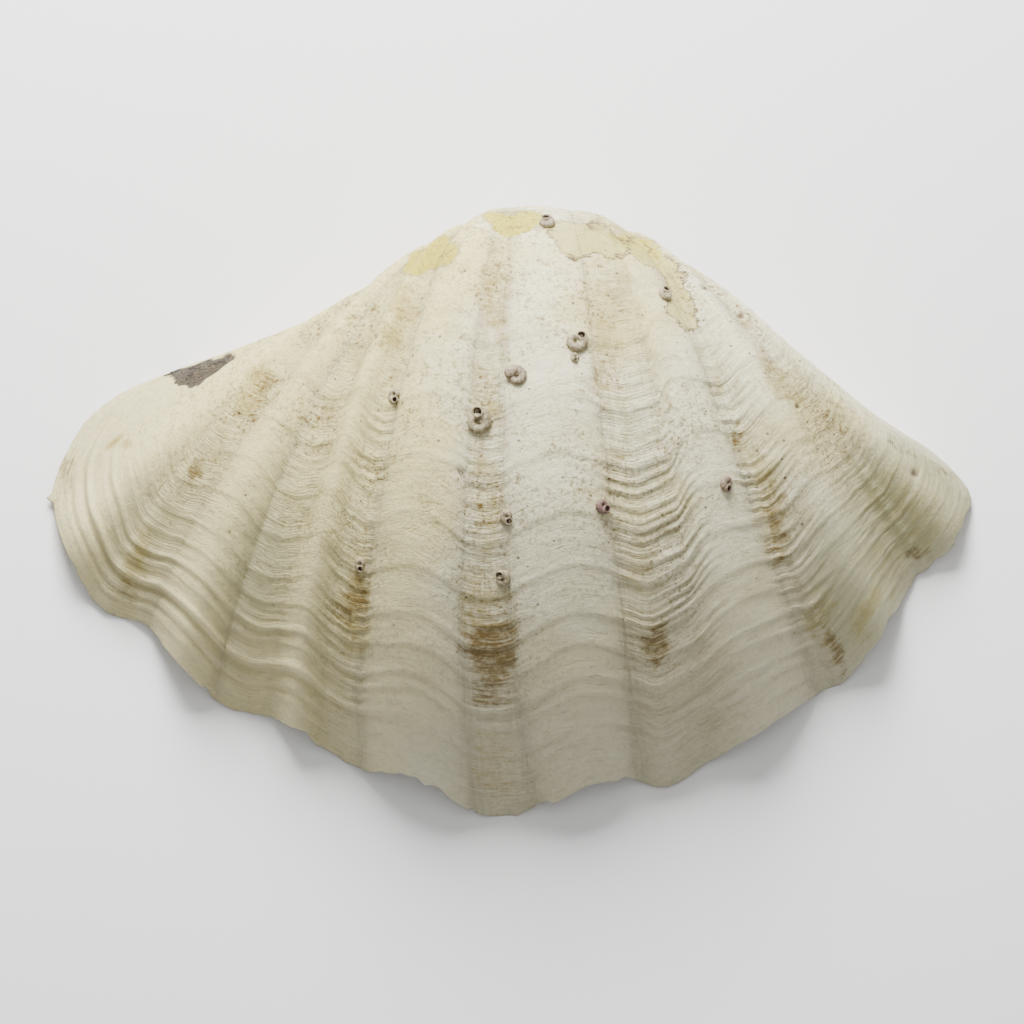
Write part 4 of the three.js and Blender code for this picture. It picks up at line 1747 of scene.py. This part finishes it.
    def tree(self, material: bpy.types.Material) -> bpy.types.NodeTree:
        """Builds the tree that skins the rings of a path.

        Args:
            material: The tubes' material.

        Returns:
            The tree, with an input for the number of sides.
        """
        shape = ShapeTree("skin_tube", {"Sides": "Int"}, material)
        plan, entry = shape.start()
        path, sides = entry("Geometry"), entry("Sides")
        size = plan.feed(plan.node("GeometryNodeAttributeDomainSize", component="MESH"), Geometry=path)
        around = sides + 1.0
        wall = plan.node("GeometryNodeMeshGrid")
        plan.feed(wall, Vertices_X=plan.take(size, "Point Count"), Vertices_Y=around)
        index = plan.take(plan.node("GeometryNodeInputIndex"))
        ring = plan.math("FLOOR", (index + 0.5) / around)
        angle = (index - ring * around) / sides * (2 * math.pi)

        def of_ring(value: Value, kind: str = "FLOAT") -> Value:
            """Reads a path value at the wall point's own ring."""
            sample = plan.node("GeometryNodeSampleIndex", data_type=kind, domain="POINT")
            return plan.take(plan.feed(sample, Geometry=path, Value=value, Index=ring), "Value")

        def reach(name: str, part: str) -> Value:
            """Gives how far the wall point stands off along one of its ring's directions."""
            return plan.scaled(of_ring(plan.number(name, VECTOR), VECTOR), radius * plan.math(part, angle))

        middle = of_ring(plan.take(plan.node("GeometryNodeInputPosition")), VECTOR)
        radius = of_ring(plan.number("radius"))
        off = plan.vector("ADD", reach("side", "COSINE"), reach("up", "SINE"))
        lay = plan.node("GeometryNodeSetPosition")
        plan.feed(lay, Geometry=plan.take(wall, "Mesh"), Position=plan.vector("ADD", middle, off))
        skin = plan.take(lay)
        for name in ("mouth", "purple"):
            keep = plan.node("GeometryNodeStoreNamedAttribute", data_type="FLOAT", domain="POINT")
            skin = plan.take(plan.feed(keep, Geometry=skin, Name=name, Value=of_ring(plan.number(name))))
        close = plan.node("GeometryNodeMergeByDistance")
        return shape.finish(plan, plan.take(plan.feed(close, Geometry=skin, Distance=self.seam * MM)))

    def build_one(self, spec: TubeSpec, rings: list[TubeRing], tree: bpy.types.NodeTree) -> bpy.types.Object:
        """Builds one tube as a closed mesh.

        Args:
            spec: The tube.
            rings: Its rings.
            tree: The tree that skins them.

        Returns:
            The tube's object.
        """
        mesh = bpy.data.meshes.new("tube_" + spec.name)
        mesh.vertices.add(len(rings))
        points = np.array([ring.point for ring in rings]) + np.array([*self.shift, 0.0])
        mesh.vertices.foreach_set("co", (points * MM).astype(np.float32).reshape(-1))
        for name, size in (("side", 1.0), ("up", 1.0), ("radius", MM), ("mouth", 1.0)):
            write_numbers(mesh, name, np.array([getattr(ring, name) * size for ring in rings]))
        write_numbers(mesh, "purple", np.full(len(rings), spec.purple))
        made = bpy.data.objects.new("tube_" + spec.name, mesh)
        run_tree(made, tree, {"Sides": self.sides})
        turn_outward(made.data)
        return made

    def build(self, shell: ValveShell, face: BVHTree, material: bpy.types.Material) -> list[bpy.types.Object]:
        """Builds every tube."""
        tree = self.tree(material)
        return [self.build_one(spec, self.rings(spec, shell, face), tree) for spec in self.specs]


@dataclass
class CrustGrains:
    """Small grains of dark crust scattered over the crust patch by a geometry node tree."""

    grain_size: float = 0.0011
    density: float = 240000.0
    seed: int = 4
    least_mask: float = 0.42
    least_scale: tuple[float, float, float] = (0.5, 0.5, 0.25)
    most_scale: tuple[float, float, float] = (1.5, 1.3, 0.8)

    def patch(self, shell: bpy.types.Object) -> bpy.types.Object:
        """Copies the faces under the crust.

        Args:
            shell: The valve's object.

        Returns:
            The patch as an object of its own.
        """
        mesh = shell.data
        mask = np.zeros(len(mesh.vertices), dtype=np.float32)
        mesh.attributes[StainKind.CRUST.value].data.foreach_get("value", mask)
        places: dict[int, int] = {}
        points: list[tuple[float, float, float]] = []
        faces: list[list[int]] = []
        for polygon in mesh.polygons:
            corners = list(polygon.vertices)
            if min(mask[corner] for corner in corners) < self.least_mask:
                continue
            for corner in corners:
                if corner not in places:
                    places[corner] = len(points)
                    points.append(tuple(mesh.vertices[corner].co))
            faces.append([places[corner] for corner in corners])
        copy = bpy.data.meshes.new("crust_patch")
        copy.from_pydata(points, [], faces)
        return bpy.data.objects.new("crust_grains", copy)

    def tree(self, material: bpy.types.Material) -> bpy.types.NodeTree:
        """Builds the tree that scatters the grains.

        Args:
            material: The grains' material.

        Returns:
            The node tree.
        """
        shape = ShapeTree("scatter_crust", {"Grain Size": "Float", "Density": "Float"}, material)
        plan, entry = shape.start()
        scatter = plan.node("GeometryNodeDistributePointsOnFaces")
        plan.feed(scatter, Mesh=entry("Geometry"), Density=entry("Density"), Seed=self.seed)
        grain = plan.feed(plan.node("GeometryNodeMeshIcoSphere"), Subdivisions=1, Radius=entry("Grain Size"))
        vary = plan.node("FunctionNodeRandomValue", data_type=VECTOR)
        plan.feed(vary, Min=self.least_scale, Max=self.most_scale, Seed=self.seed)
        place = plan.node("GeometryNodeInstanceOnPoints")
        plan.feed(place, Points=plan.take(scatter, "Points"), Instance=plan.take(grain, "Mesh"),
                  Rotation=plan.take(scatter, "Rotation"), Scale=plan.take(vary, "Value"))
        return shape.finish(plan, plan.take(place, "Instances"))

    def build(self, shell: bpy.types.Object, material: bpy.types.Material) -> bpy.types.Object:
        """Scatters the grains and turns them into a plain mesh.

        Args:
            shell: The valve's object.
            material: The grains' material.

        Returns:
            The grains' object.
        """
        made = self.patch(shell)
        run_tree(made, self.tree(material), {"Grain Size": self.grain_size, "Density": self.density})
        return made


@dataclass
class Studio:
    """The pale floor, the soft light and the camera at the photo's angle."""

    floor_size: float = 6.0
    distance: float = 6.0
    lens: float = 278.0
    tilt_degrees: float = 82.0
    aim: tuple[float, float, float] = (0.0, -0.0102, 0.09)
    room_light: float = 0.34
    floor_drop: float = 0.0005
    lights: tuple[tuple[str, tuple[float, float, float], float, float], ...] = (
        ("top_light", (-0.25, 1.7, 1.35), 1.1, 165.0),
        ("overhead", (0.1, 0.2, 2.3), 1.6, 14.0),
        ("front_fill", (0.2, -1.8, 1.2), 2.0, 1.0),
    )

    def build(self) -> None:
        """Sets up the floor, the lights and the camera."""
        bpy.ops.mesh.primitive_plane_add(size=self.floor_size, location=(0.0, 0.0, -self.floor_drop))
        floor = bpy.context.object
        floor.name = "studio_floor"
        material, _, shader = new_material("pale_floor", 0.9)
        shader.inputs["Base Color"].default_value = linear(250, 250, 249)
        floor.data.materials.append(material)
        for name, place, size, power in self.lights:
            self.light(name, place, size, power)
        world = bpy.data.worlds.new("soft_room")
        world.use_nodes = True
        backdrop = world.node_tree.nodes["Background"]
        backdrop.inputs["Color"].default_value = (1.0, 1.0, 1.0, 1.0)
        backdrop.inputs["Strength"].default_value = self.room_light
        bpy.context.scene.world = world
        camera = bpy.data.objects.new("photo_camera", bpy.data.cameras.new("photo_camera"))
        bpy.context.scene.collection.objects.link(camera)
        camera.data.lens = self.lens
        camera.data.clip_end = 50.0
        angle = math.radians(self.tilt_degrees)
        offset = Vector((0.0, -math.cos(angle), math.sin(angle))) * self.distance
        camera.location = Vector(self.aim) + offset
        camera.rotation_euler = (-offset).to_track_quat("-Z", "Y").to_euler()
        bpy.context.scene.camera = camera

    def light(self, name: str, place: tuple[float, float, float], size: float, power: float) -> None:
        """Adds one soft area light that faces the shell.

        Args:
            name: The light's name.
            place: Where it stands, in metres.
            size: Its width, in metres.
            power: Its power, in watts.
        """
        data = bpy.data.lights.new(name, "AREA")
        data.size = size
        data.energy = power
        lamp = bpy.data.objects.new(name, data)
        lamp.location = place
        lamp.rotation_euler = (Vector(self.aim) - Vector(place)).to_track_quat("-Z", "Y").to_euler()
        bpy.context.scene.collection.objects.link(lamp)


def main() -> None:
    """Builds the dressed valve and its studio."""
    logging.basicConfig(level=logging.INFO, format="%(message)s")
    shell = ValveShell()
    shell_object, face = shell.build(ShellFinish().make())
    LOG.info("valve shell: %d faces", len(shell_object.data.polygons))
    tubes = WormTubes(shift=shell.shift).build(shell, face, TubeFinish().make())
    for tube in tubes:
        LOG.info("%s: %d faces", tube.name, len(tube.data.polygons))
    grains = CrustGrains().build(shell_object, CrustFinish().make())
    LOG.info("crust grains: %d faces", len(grains.data.polygons))
    for piece in [shell_object, *tubes, grains]:
        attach(piece, "root")
    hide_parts("valve")
    Studio().build()


if __name__ == "__main__":
    main()
